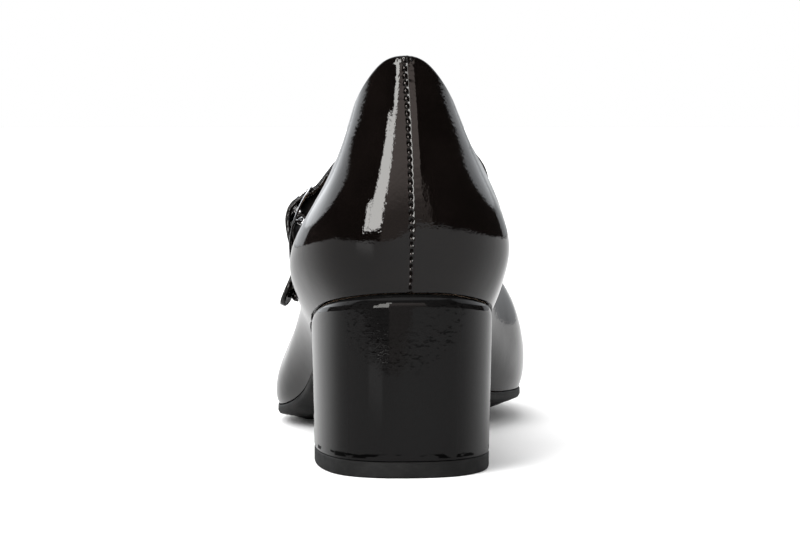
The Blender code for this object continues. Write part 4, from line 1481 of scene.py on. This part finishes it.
def patent_leather(sizes):
    finish, relief = patent_base(
        "patent_leather", sizes.leather_colour, sizes.coat_roughness, sizes.grain, sizes.swell)
    # painted shade: the lacquer is dulled in the back seam's pits so that they show dark
    finish.feed("Coat Weight", finish.ranged(finish.own("painted_shade"), 0.15, 0.85, 1.0, 0.05))
    return coat_relief(finish, relief)


def patent_strap(sizes):
    finish, relief = patent_base(
        "patent_strap", sizes.leather_colour, 0.05, sizes.grain * 2.0, sizes.swell)
    relief = finish.bump(finish.noise(900.0, 2.0), 0.00003, relief)
    return coat_relief(finish, relief)


def patent_heel(sizes):
    """Heel cover: neutral black, crinkled below its top edge, with a painted reflection: its
    lacquer weaker mid-way across.
    """
    finish, relief = patent_base(
        "patent_heel", HEEL_COLOUR, sizes.coat_roughness, sizes.grain * 0.3, sizes.swell * 0.5)
    inside = finish.length(finish.mapped(PATCH_SHIFT, PATCH_SCALE))
    band = finish.times(
        finish.ranged(inside, *PATCH_INSIDE), finish.ranged(inside, *PATCH_OUTSIDE))
    fine = finish.noise(1.0, 4.0, finish.mapped((0.0, 0.0, 0.0), FINE_SCALE), 0.62)
    marks = finish.times(finish.ranged(fine, 0.42, 0.62), band)
    relief = finish.bump(marks, sizes.crinkle, relief)
    fleck = finish.times(finish.ranged(fine, 0.54, 0.61), band)
    up = finish.axis("Z")
    foot = finish.times(finish.ranged(up, *SCUFF_FOOT), finish.ranged(up, *SCUFF_TOP))
    smear = finish.noise(1.0, 2.0, finish.mapped(SCUFF_SHIFT, SCUFF_SCALE))
    scuff = finish.times(foot, finish.ranged(smear, 0.54, 0.6))
    dull = finish.larger(scuff, finish.times(fleck, 0.6))
    finish.mottle(dull, HEEL_COLOUR, darker(HEEL_COLOUR, 0.15))
    # painted reflection: the lacquer's weight is set by place across the block
    across = finish.axis("X")
    weight = finish.plus(
        finish.ranged(across, *PAINTED_REFLECTION_OUTER_SIDE), finish.ranged(across, *PAINTED_REFLECTION_INNER_SIDE))
    finish.feed("Coat Weight", finish.times(weight, finish.ranged(dull, 0.0, 1.0, 1.0, 0.15)))
    return coat_relief(finish, relief)


def seam_thread(_):
    finish = Finish("seam_thread")
    finish.put(Roughness=0.45, Sheen_Weight=0.25, Sheen_Roughness=0.4)
    finish.mottle(
        finish.patches(2500.0, 1.0, 0.35, 0.65), (0.03, 0.025, 0.022), (0.15, 0.13, 0.12))
    finish.feed("Normal", finish.bump(finish.noise(6000.0, 1.0), 0.00004))
    return finish.material


def lining_leather(sizes):
    finish = Finish("lining_leather")
    finish.put(Roughness=0.62, Specular_IOR_Level=0.35)
    colour = sizes.lining_colour
    finish.mottle(finish.patches(90.0, 4.0, 0.3, 0.7), darker(colour, 0.86), darker(colour, 1.08))
    pores = finish.bump(finish.cells(1500.0), 0.00006)
    finish.feed("Normal", finish.bump(finish.noise(260.0, 3.0), 0.00010, pores))
    return finish.material


def strap_backing(_):
    finish = Finish("strap_backing")
    finish.put(Roughness=0.6, Specular_IOR_Level=0.25)
    finish.mottle(
        finish.patches(200.0, 3.0, 0.3, 0.7), (0.006, 0.005, 0.005), (0.012, 0.010, 0.009))
    finish.feed("Normal", finish.bump(finish.cells(1600.0), 0.00005))
    return finish.material


def insole_leather(sizes):
    finish = Finish("insole_leather")
    finish.put(Roughness=0.5, Specular_IOR_Level=0.4)
    colour = sizes.insole_colour
    finish.mottle(finish.patches(50.0, 4.0, 0.3, 0.72), darker(colour, 0.82), darker(colour, 1.1))
    pores = finish.bump(finish.cells(1100.0), 0.00008)
    finish.feed("Normal", finish.bump(finish.noise(200.0, 3.0), 0.00012, pores))
    return finish.material


def sole_black(_):
    finish = Finish("sole_black")
    finish.put(Specular_IOR_Level=0.1)
    finish.mottle(
        finish.patches(120.0, 4.0, 0.4, 0.75), (0.006, 0.006, 0.006), (0.013, 0.0125, 0.012))
    finish.feed("Roughness", finish.ranged(finish.noise(70.0, 3.0), 0.3, 0.7, 0.5, 0.62))
    finish.feed("Normal", finish.bump(finish.noise(1400.0, 3.0), 0.00005))
    return finish.material


def top_piece_rubber(_):
    finish = Finish("top_piece_rubber")
    finish.put(Specular_IOR_Level=0.12)
    finish.mottle(
        finish.patches(260.0, 4.0, 0.45, 0.8), (0.007, 0.007, 0.007), (0.012, 0.0118, 0.0115))
    finish.feed("Roughness", finish.ranged(finish.noise(150.0, 3.0), 0.3, 0.7, 0.6, 0.72))
    finish.feed("Normal", finish.bump(finish.noise(2600.0, 2.0), 0.00006))
    return finish.material


def buckle_metal(_):
    finish = Finish("buckle_metal")
    finish.put(Metallic=1.0)
    finish.mottle(finish.patches(400.0, 2.0, 0.3, 0.7), (0.42, 0.42, 0.43), (0.54, 0.54, 0.55))
    finish.feed("Roughness", finish.ranged(finish.noise(900.0, 3.0), 0.3, 0.7, 0.10, 0.20))
    finish.feed("Normal", finish.bump(finish.noise(500.0, 2.0), 0.000003))
    return finish.material


FINISHES = (patent_leather, patent_strap, patent_heel, seam_thread, lining_leather,
            strap_backing, insole_leather, sole_black, top_piece_rubber, buckle_metal)


def finish_named(name, sizes):
    """The named material, made the first time that it is asked for."""
    found = bpy.data.materials.get(name + "_look")
    if found is None:
        makers = {maker.__name__: maker for maker in FINISHES}
        found = makers[name](sizes)
        found.name = name + "_look"
    return found


# ---------------------------------------------------------------- settings and operators
class ShoeSizes(PropertyGroup):
    stitch_pitch: FloatProperty(
        name="Stitch Pitch", description="Distance from one back-seam stitch to the next",
        default=0.0022, min=0.001, max=0.005, subtype="DISTANCE", unit="LENGTH", precision=5)
    seam_depth: FloatProperty(
        name="Seam Depth", description="Depth of the back seam's groove",
        default=0.00036, min=0.0, max=0.001, subtype="DISTANCE", unit="LENGTH", precision=5)
    strap_pitch: FloatProperty(
        name="Strap Stitch Pitch", description="Distance between stitches on the strap",
        default=0.0023, min=0.001, max=0.005, subtype="DISTANCE", unit="LENGTH", precision=5)
    hole_spacing: FloatProperty(
        name="Hole Spacing", description="Distance between the strap's punched holes",
        default=0.0065, min=0.004, max=0.012, subtype="DISTANCE", unit="LENGTH", precision=5)
    hole_count: IntProperty(
        name="Holes", description="Punched holes in the strap", default=5, min=1, max=9)
    grain: FloatProperty(
        name="Grain", description="Height of the leather's fine relief",
        default=0.000024, min=0.0, max=0.001, subtype="DISTANCE", unit="LENGTH", precision=6)
    swell: FloatProperty(
        name="Swell", description="Height of the slow waves under the lacquer",
        default=0.000034, min=0.0, max=0.001, subtype="DISTANCE", unit="LENGTH", precision=6)
    crinkle: FloatProperty(
        name="Crinkle", description="Height of the creases at the top of the heel cover",
        default=0.000004, min=0.0, max=0.001, subtype="DISTANCE", unit="LENGTH", precision=6)
    coat_roughness: FloatProperty(
        name="Lacquer Roughness", description="Blur of reflections in the patent finish",
        default=0.005, min=0.0, max=0.5, subtype="FACTOR")
    leather_colour: FloatVectorProperty(
        name="Leather", description="Base colour under the lacquer", subtype="COLOR",
        default=(0.0024, 0.0017, 0.0015), min=0.0, max=1.0)
    lining_colour: FloatVectorProperty(
        name="Lining", description="Colour of the lining", subtype="COLOR",
        default=(0.40, 0.29, 0.20), min=0.0, max=1.0)
    insole_colour: FloatVectorProperty(
        name="Insole", description="Colour of the insole", subtype="COLOR",
        default=(0.36, 0.26, 0.18), min=0.0, max=1.0)


class StageSettings(PropertyGroup):
    camera_back: FloatProperty(
        name="Camera Distance", description="From the back of the heel", default=1.0,
        min=0.2, max=10.0, subtype="DISTANCE", unit="LENGTH")
    camera_up: FloatProperty(
        name="Camera Height", description="Above the floor", default=0.1252,
        min=0.01, max=3.0, subtype="DISTANCE", unit="LENGTH", precision=4)
    camera_tilt: FloatProperty(
        name="Camera Tilt", description="Down from level", default=math.radians(3.67),
        min=0.0, max=1.5, subtype="ANGLE", unit="ROTATION")
    camera_lens: FloatProperty(
        name="Lens", description="Focal length", default=158.2, min=10.0, max=500.0,
        subtype="DISTANCE_CAMERA", unit="CAMERA")
    strip_turn: FloatProperty(
        name="Strip Turn", description="Strip light's direction, outwards from straight behind",
        default=math.radians(21.0), min=0.0, max=1.57, subtype="ANGLE", unit="ROTATION")
    strip_radiance: FloatProperty(
        name="Strip Brightness", description="Brightness of the strip light", default=19.0,
        min=0.0, max=100.0)
    key_strength: FloatProperty(
        name="Key Strength", description="Strength of the soft key light from above",
        default=1.9, min=0.0, max=100.0)
    side_strength: FloatProperty(
        name="Side Strength", description="Strength of the soft light from behind on the left",
        default=3.2, min=0.0, max=100.0)
    # painted gleam: emission on the table that only reflections show
    painted_gleam_radiance: FloatProperty(
        name="Table Glow", description="Brightness of the strip light's gleam on the table",
        default=0.75, min=0.0, max=100.0)
    floor_colour: FloatProperty(
        name="Floor Tone", description="Reflectance of the floor", default=0.9, min=0.0, max=1.0,
        subtype="FACTOR")


def shown_as(item, slot, *nodes):
    """Rides a finished piece on the shoe and hides the nodes that it stands for; slot is not used.
    """
    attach(item, "root")
    if nodes:
        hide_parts(*nodes)


class ShoePiece:
    """What every piece's operator shares."""
    bl_options = {"REGISTER", "UNDO"}

    def execute(self, context):
        self.build(context.scene.shoe_sizes)
        return {"FINISHED"}


class SHOE_OT_upper(ShoePiece, Operator):
    """Outer leather with its back seam and folded topline"""
    bl_idname = "shoe.upper"
    bl_label = "Upper"

    def build(self, sizes):
        material = finish_named("patent_leather", sizes)
        item = upper_mesh(
            "upper_leather", material, sizes.stitch_pitch / MM, sizes.seam_depth / MM)
        shown_as(item, "patent_leather", "upper")


class SHOE_OT_lining(ShoePiece, Operator):
    """Leather lining inside the upper"""
    bl_idname = "shoe.lining"
    bl_label = "Lining"

    def build(self, sizes):
        item = lining_mesh("upper_lining", finish_named("lining_leather", sizes))
        shown_as(item, "insole_leather")


class SHOE_OT_back_seam(ShoePiece, Operator):
    """Thread of the back seam"""
    bl_idname = "shoe.back_seam"
    bl_label = "Back Seam Thread"

    def build(self, sizes):
        tree = stitch_tree("seam_stitches", finish_named("seam_thread", sizes))
        path, lifts = back_seam_path()
        item = stitched(
            "back_seam_thread", tree, path, lifts, pitch=sizes.stitch_pitch / MM, length=0.7,
            width=0.4, height=0.34)
        shown_as(item, "patent_leather")


class SHOE_OT_insole(ShoePiece, Operator):
    """Padded insole"""
    bl_idname = "shoe.insole"
    bl_label = "Insole"

    def build(self, sizes):
        item = insole_mesh("insole_sock", finish_named("insole_leather", sizes))
        shown_as(item, "insole_leather", "insole")


class SHOE_OT_outsole(ShoePiece, Operator):
    """Outsole with its shallow tread"""
    bl_idname = "shoe.outsole"
    bl_label = "Outsole"

    def build(self, sizes):
        item = outsole_mesh("outsole_sheet", finish_named("sole_black", sizes))
        shown_as(item, "sole_black", "outsole")


class SHOE_OT_heel(ShoePiece, Operator):
    """Leather-covered heel block and its rubber top piece"""
    bl_idname = "shoe.heel"
    bl_label = "Heel"

    def build(self, sizes):
        cover = heel_cover_mesh("heel_cover", finish_named("patent_heel", sizes), CRINKLE_RELIEF)
        shown_as(cover, "patent_leather", "heel_block")
        lift = top_piece_mesh("heel_lift", finish_named("top_piece_rubber", sizes))
        shown_as(lift, "top_piece_rubber", "heel_top_piece")


class SHOE_OT_strap(ShoePiece, Operator):
    """Instep strap with turned edges, lining, stitching and punched holes"""
    bl_idname = "shoe.strap"
    bl_label = "Strap"

    def build(self, sizes):
        band = band_frame(STRAP_LIE, STRAP_STEPS, STRAP_LEAN)
        end = band.run[-1]
        widths = band_width(band.run, end, STRAP_WIDTH, 0.0, TIP_LENGTH)
        top = 0.5 * STRAP_THICK
        leather = band_mesh(
            "strap_leather", finish_named("patent_strap", sizes), band, widths,
            low=-0.46, high=top + 0.05, puff=0.10, crinkle=0.3)
        lining = band_mesh(
            "strap_lining", finish_named("strap_backing", sizes), band, widths - LINING_INSET,
            low=-top, high=-0.49, puff=0.0, crinkle=0.0)
        gap = np.linalg.norm(band.points - (STRAP_HOLE.across, STRAP_HOLE.up), axis=1)
        fastened = band.run[int(np.argmin(gap))]
        spread = sizes.hole_spacing / MM
        for item in (leather, lining):
            holes = []
            for count in range(sizes.hole_count):
                distance = fastened + spread * (count - sizes.hole_count // 2)
                holes.append(hole_cutter("hole", band, distance, HOLE_RADIUS, PUNCH_LENGTH))
            combine(item, "DIFFERENCE", holes)
        shown_as(leather, "patent_leather", "strap")
        shown_as(lining, "insole_leather")
        tree = stitch_tree("strap_stitches", finish_named("seam_thread", sizes))
        path, lifts = stitch_line(band, widths, 4.0, end, top - 0.09)
        thread = stitched(
            "strap_thread", tree, path, lifts, pitch=sizes.strap_pitch / MM, length=1.8,
            width=0.42, height=0.34)
        shown_as(thread, "patent_leather")


class SHOE_OT_tab(ShoePiece, Operator):
    """Tab that holds the buckle, with its stitching"""
    bl_idname = "shoe.tab"
    bl_label = "Buckle Tab"

    def build(self, sizes):
        band = band_frame(TAB_LIE, TAB_STEPS, TAB_LEAN)
        widths = band_width(band.run, band.run[-1], TAB_WIDTH, 2.0, 0.0)
        half = 0.5 * TAB_THICK
        item = band_mesh(
            "tab_leather", finish_named("patent_strap", sizes), band, widths,
            low=-half, high=half - 0.04, puff=0.06, crinkle=0.06)
        place = (BAR.across, STRAP_FORWARD, BAR.up + SLOT_RISE)
        combine(item, "DIFFERENCE", [slot_cutter("slot", place, SLOT_SIZE)])
        shown_as(item, "patent_leather", "buckle_tab")
        for name, table, lean, width, tip, thick, puff in (
                ("tab_backing", TAB_BACKING, BACKING_LEAN, TAB_WIDTH - 0.6, 4.0, 0.42, 0.05),
                ("tab_fold", TAB_FOLD, FOLD_LEAN, TAB_WIDTH, 0.0, 0.36, 0.04)):
            ply = band_frame(table, PLY_STEPS, lean)
            wide = band_width(ply.run, ply.run[-1], width, 0.0, tip)
            item = band_mesh(
                name, finish_named("strap_backing", sizes), ply, wide,
                low=-thick, high=thick, puff=puff, crinkle=0.05)
            shown_as(item, "patent_leather")
        tree = stitch_tree("tab_stitches", finish_named("seam_thread", sizes))
        path, lifts = stitch_line(band, widths, STITCH_EDGE, 22.0, half - 0.08)
        middle = len(path) // 2
        thread = stitched(
            "tab_thread", tree, np.roll(path, middle, axis=0), np.roll(lifts, middle, axis=0),
            pitch=sizes.strap_pitch / MM, length=1.7, width=0.40, height=0.32)
        shown_as(thread, "patent_leather")


class SHOE_OT_buckle(ShoePiece, Operator):
    """Metal frame with its bar, and the prong"""
    bl_idname = "shoe.buckle"
    bl_label = "Buckle"

    def build(self, sizes):
        material = finish_named("buckle_metal", sizes)
        shown_as(buckle_ring_mesh("buckle_ring", material), "buckle_metal", "buckle_frame")
        shown_as(prong_mesh("buckle_tongue", material), "buckle_metal", "buckle_prong")


# ---------------------------------------------------------------- stage
def area_light(name, place, target, width, height, radiance, colour):
    data = bpy.data.lights.new(name, "AREA")
    data.shape = "RECTANGLE"
    data.size = width
    data.size_y = height
    data.energy = radiance * math.pi * width * height
    data.color = colour
    lamp = placed(name, data)
    lamp.location = place
    lamp.rotation_euler = (Vector(target) - Vector(place)).to_track_quat("-Z", "Y").to_euler()
    lamp.visible_camera = False
    return lamp


def strip_panel(name, turn, width, low, high, radiance):
    """Upright panel behind the heel, facing it, seen only in reflections."""
    middle = 0.5 * (low + high)
    place = (-STRIP_AWAY * math.sin(turn), -STRIP_AWAY * math.cos(turn), middle)
    lamp = area_light(name, place, (0.0, 0.0, middle), width, high - low, radiance, STRIP_TINT)
    lamp.visible_diffuse = False


def sun_light(name, source, strength, angle):
    """Soft light from that direction, which shows no disc in reflections."""
    data = bpy.data.lights.new(name, "SUN")
    data.energy = strength
    data.angle = angle
    lamp = placed(name, data)
    lamp.rotation_euler = Vector(source).to_track_quat("Z", "Y").to_euler()
    lamp.visible_camera = False
    lamp.visible_glossy = False


def floor_paper(tone, painted_gleam):
    """Pale paper with painted reflection: its colour is lowered in reflections, more on the outer
    side, and reflections alone show a painted gleam of the strip light, an emission on it.
    """
    finish = Finish("floor_paper")
    finish.put(Roughness=0.9, Specular_IOR_Level=0.0)
    reflected = finish.ray("Is Glossy Ray")
    # painted reflection: the paper's colour is lowered for reflections, more on the outer side
    mirrored = finish.ranged(finish.axis("X"), *TABLE_SIDES, *TABLE_PAINTED_REFLECTION)
    painted_reflection_loss = finish.times(finish.math("SUBTRACT", mirrored, 1.0), reflected)
    pale = finish.blend(finish.patches(40.0, 3.0, 0.3, 0.7), (tone * 0.995,) * 3, (tone,) * 3)
    finish.feed("Base Color", finish.scaled(pale, finish.plus(painted_reflection_loss, 1.0)))
    # painted gleam: emission in a fan behind the heel, seen only in reflections
    back = finish.larger(finish.times(finish.axis("Y"), -1.0), 0.002)
    turn = finish.over(finish.axis("X"), back)
    painted_gleam_fan = finish.times(finish.ranged(turn, *PAINTED_GLEAM_LEFT), finish.ranged(turn, *PAINTED_GLEAM_RIGHT))
    painted_gleam_fan = finish.times(painted_gleam_fan, reflected)
    painted_gleam_fan = finish.times(painted_gleam_fan, finish.ranged(back, *PAINTED_GLEAM_AWAY))
    finish.put(Emission_Color=(*WHITE, 1.0))
    finish.feed("Emission Strength", finish.times(painted_gleam_fan, painted_gleam))
    return finish.material


def floor_plane(tone, painted_gleam):
    """Pale table; its near edge lies out of view behind the heel."""
    size = TABLE_STEPS + 1
    points = []
    for share in np.linspace(0.0, 1.0, size):
        for x in np.linspace(-TABLE_REACH, TABLE_REACH, size):
            near = TABLE_EDGE + (TABLE_FAR_EDGE - TABLE_EDGE) * ease_share(x, *TABLE_BEND)
            points.append((x, near + (TABLE_REACH - near) * share, 0.0))
    corners = [row * size + column for row in range(TABLE_STEPS) for column in range(TABLE_STEPS)]
    faces = [(k, k + 1, k + size + 1, k + size) for k in corners]
    mesh = bpy.data.meshes.new("floor")
    mesh.from_pydata(points, [], faces)
    mesh.materials.append(floor_paper(tone, painted_gleam))
    item = placed("floor", mesh)


class Room(Nodes):
    """The studio's surroundings as a function of direction."""

    def __init__(self):
        world = bpy.data.worlds.new("studio")
        world.use_nodes = True
        bpy.context.scene.world = world
        super().__init__(world.node_tree)
        self.tree.nodes.clear()
        way = self.node("ShaderNodeTexCoord", "Generated", {})
        self.x, self.y, self.z = (
            self.node("ShaderNodeSeparateXYZ", label, {"Vector": way}) for label in "XYZ")

    def tint(self, strength, colour):
        """The colour as a background of the given strength."""
        return self.node("ShaderNodeBackground", "Background", {
            "Color": (*colour, 1.0), "Strength": strength})

    def add(self, *lights):
        total = lights[0]
        for light in lights[1:]:
            total = self.node("ShaderNodeAddShader", "Shader", {0: total, 1: light})
        return total

    def choose(self, share, first, second):
        return self.node("ShaderNodeMixShader", "Shader", {"Fac": share, 1: first, 2: second})


def wall_behind(room):
    """Brightness of the dim wall behind the heel, which grows upwards."""
    turn = room.over(room.x, room.larger(room.times(room.y, -1.0), 0.05))
    wall = room.times(room.ranged(turn, *WALL_LEFT), room.ranged(turn, *WALL_RIGHT))
    wall = room.times(wall, room.ranged(room.y, *WALL_BEHIND))
    wall = room.times(wall, room.ranged(room.z, *WALL_CLIMB, *WALL_BRIGHTNESS))
    return room.times(wall, room.ranged(room.z, *WALL_TOP))


def light_ahead(room):
    """Brightness ahead, above a slope on either side, and low down before the toe."""
    slope = room.plus(room.z, room.times(room.y, AHEAD_TILT))
    ahead = room.ranged(room.y, *AHEAD)
    low = room.times(room.ranged(room.y, *TOE_GLOW_AHEAD),
                     room.ranged(room.z, *TOE_GLOW_TOP, 0.0, TOE_GLOW))
    side = room.ranged(room.x, *AHEAD_SIDES)
    halves = []
    for edge, share, brightness in (
            (AHEAD_INNER_EDGE, side, AHEAD_INNER),
            (AHEAD_OUTER_EDGE, room.math("SUBTRACT", 1.0, side), AHEAD_OUTER)):
        glow = room.larger(room.times(room.ranged(slope, *edge), ahead), low)
        halves.append(room.times(glow, room.times(share, brightness)))
    return room.times(room.plus(*halves), room.ranged(room.z, *HORIZON, BELOW_HORIZON, 1.0))


def room_light():
    """Pale room; in reflections it is dark behind, with a dim wall, and bright ahead."""
    room = Room()
    ceiling = room.ranged(room.z, *CEILING, 0.0, OVERHEAD)
    mirrored = room.add(
        room.tint(1.0, ROOM_DARK), room.tint(wall_behind(room), WALL_TINT),
        room.tint(light_ahead(room), AHEAD_TINT), room.tint(ceiling, WHITE))
    lit = room.choose(room.ray("Is Glossy Ray"), room.tint(FILL, WHITE), mirrored)
    seen = room.choose(room.ray("Is Camera Ray"), lit, room.tint(1.0, WHITE))
    out = room.tree.nodes.new("ShaderNodeOutputWorld")
    room.tree.links.new(seen, out.inputs["Surface"])


class SHOE_OT_stage(Operator):
    """Pale floor, soft studio lights and the camera behind the heel"""
    bl_idname = "shoe.stage"
    bl_label = "Stage"
    bl_options = {"REGISTER", "UNDO"}

    def execute(self, context):
        stage = context.scene.shoe_stage
        floor_plane(stage.floor_colour, stage.painted_gleam_radiance)
        room_light()
        context.scene.view_settings.view_transform = "Standard"
        for name, turn, width, low, high in STRIP_PANELS:
            strip_panel(name, stage.strip_turn + math.radians(turn), width, low, high,
                        stage.strip_radiance)
        sun_light("key", KEY_FROM, stage.key_strength, math.radians(KEY_ANGLE))
        sun_light("side", SIDE_FROM, stage.side_strength, math.radians(SIDE_ANGLE))
        data = bpy.data.cameras.new("camera")
        data.lens = stage.camera_lens
        data.sensor_width = 36.0
        data.clip_end = 50.0
        camera = placed("camera", data)
        back = -stage.camera_back - TOP_PIECE_MIDDLE * MM
        camera.location = (0.0, back, stage.camera_up)
        camera.rotation_euler = (0.5 * math.pi - stage.camera_tilt, 0.0, 0.0)
        context.scene.camera = camera
        return {"FINISHED"}


class SHOE_PT_sidebar(Panel):
    bl_idname = "SHOE_PT_sidebar"
    bl_label = "Patent Mary Jane"
    bl_space_type = "VIEW_3D"
    bl_region_type = "UI"
    bl_category = "Shoe"

    def draw(self, context):
        layout = self.layout
        for group in (context.scene.shoe_sizes, context.scene.shoe_stage):
            column = layout.column()
            for label in group.__annotations__:
                column.prop(group, label)
        for kind in OPERATORS:
            layout.operator(kind.bl_idname)


OPERATORS = (SHOE_OT_stage, SHOE_OT_upper, SHOE_OT_lining, SHOE_OT_back_seam, SHOE_OT_insole,
             SHOE_OT_outsole, SHOE_OT_heel, SHOE_OT_strap, SHOE_OT_tab, SHOE_OT_buckle)
CLASSES = (ShoeSizes, StageSettings) + OPERATORS + (SHOE_PT_sidebar,)


def register():
    for kind in CLASSES:
        bpy.utils.register_class(kind)
    bpy.types.Scene.shoe_sizes = PointerProperty(type=ShoeSizes)
    bpy.types.Scene.shoe_stage = PointerProperty(type=StageSettings)


def unregister():
    del bpy.types.Scene.shoe_stage
    del bpy.types.Scene.shoe_sizes
    for kind in reversed(CLASSES):
        bpy.utils.unregister_class(kind)


def main():
    register()
    bpy.ops.shoe.stage()
    bpy.ops.shoe.upper()
    bpy.ops.shoe.lining()
    bpy.ops.shoe.back_seam()
    bpy.ops.shoe.insole()
    bpy.ops.shoe.outsole()
    bpy.ops.shoe.heel()
    bpy.ops.shoe.strap()
    bpy.ops.shoe.tab()
    bpy.ops.shoe.buckle()


if __name__ == "__main__":
    main()
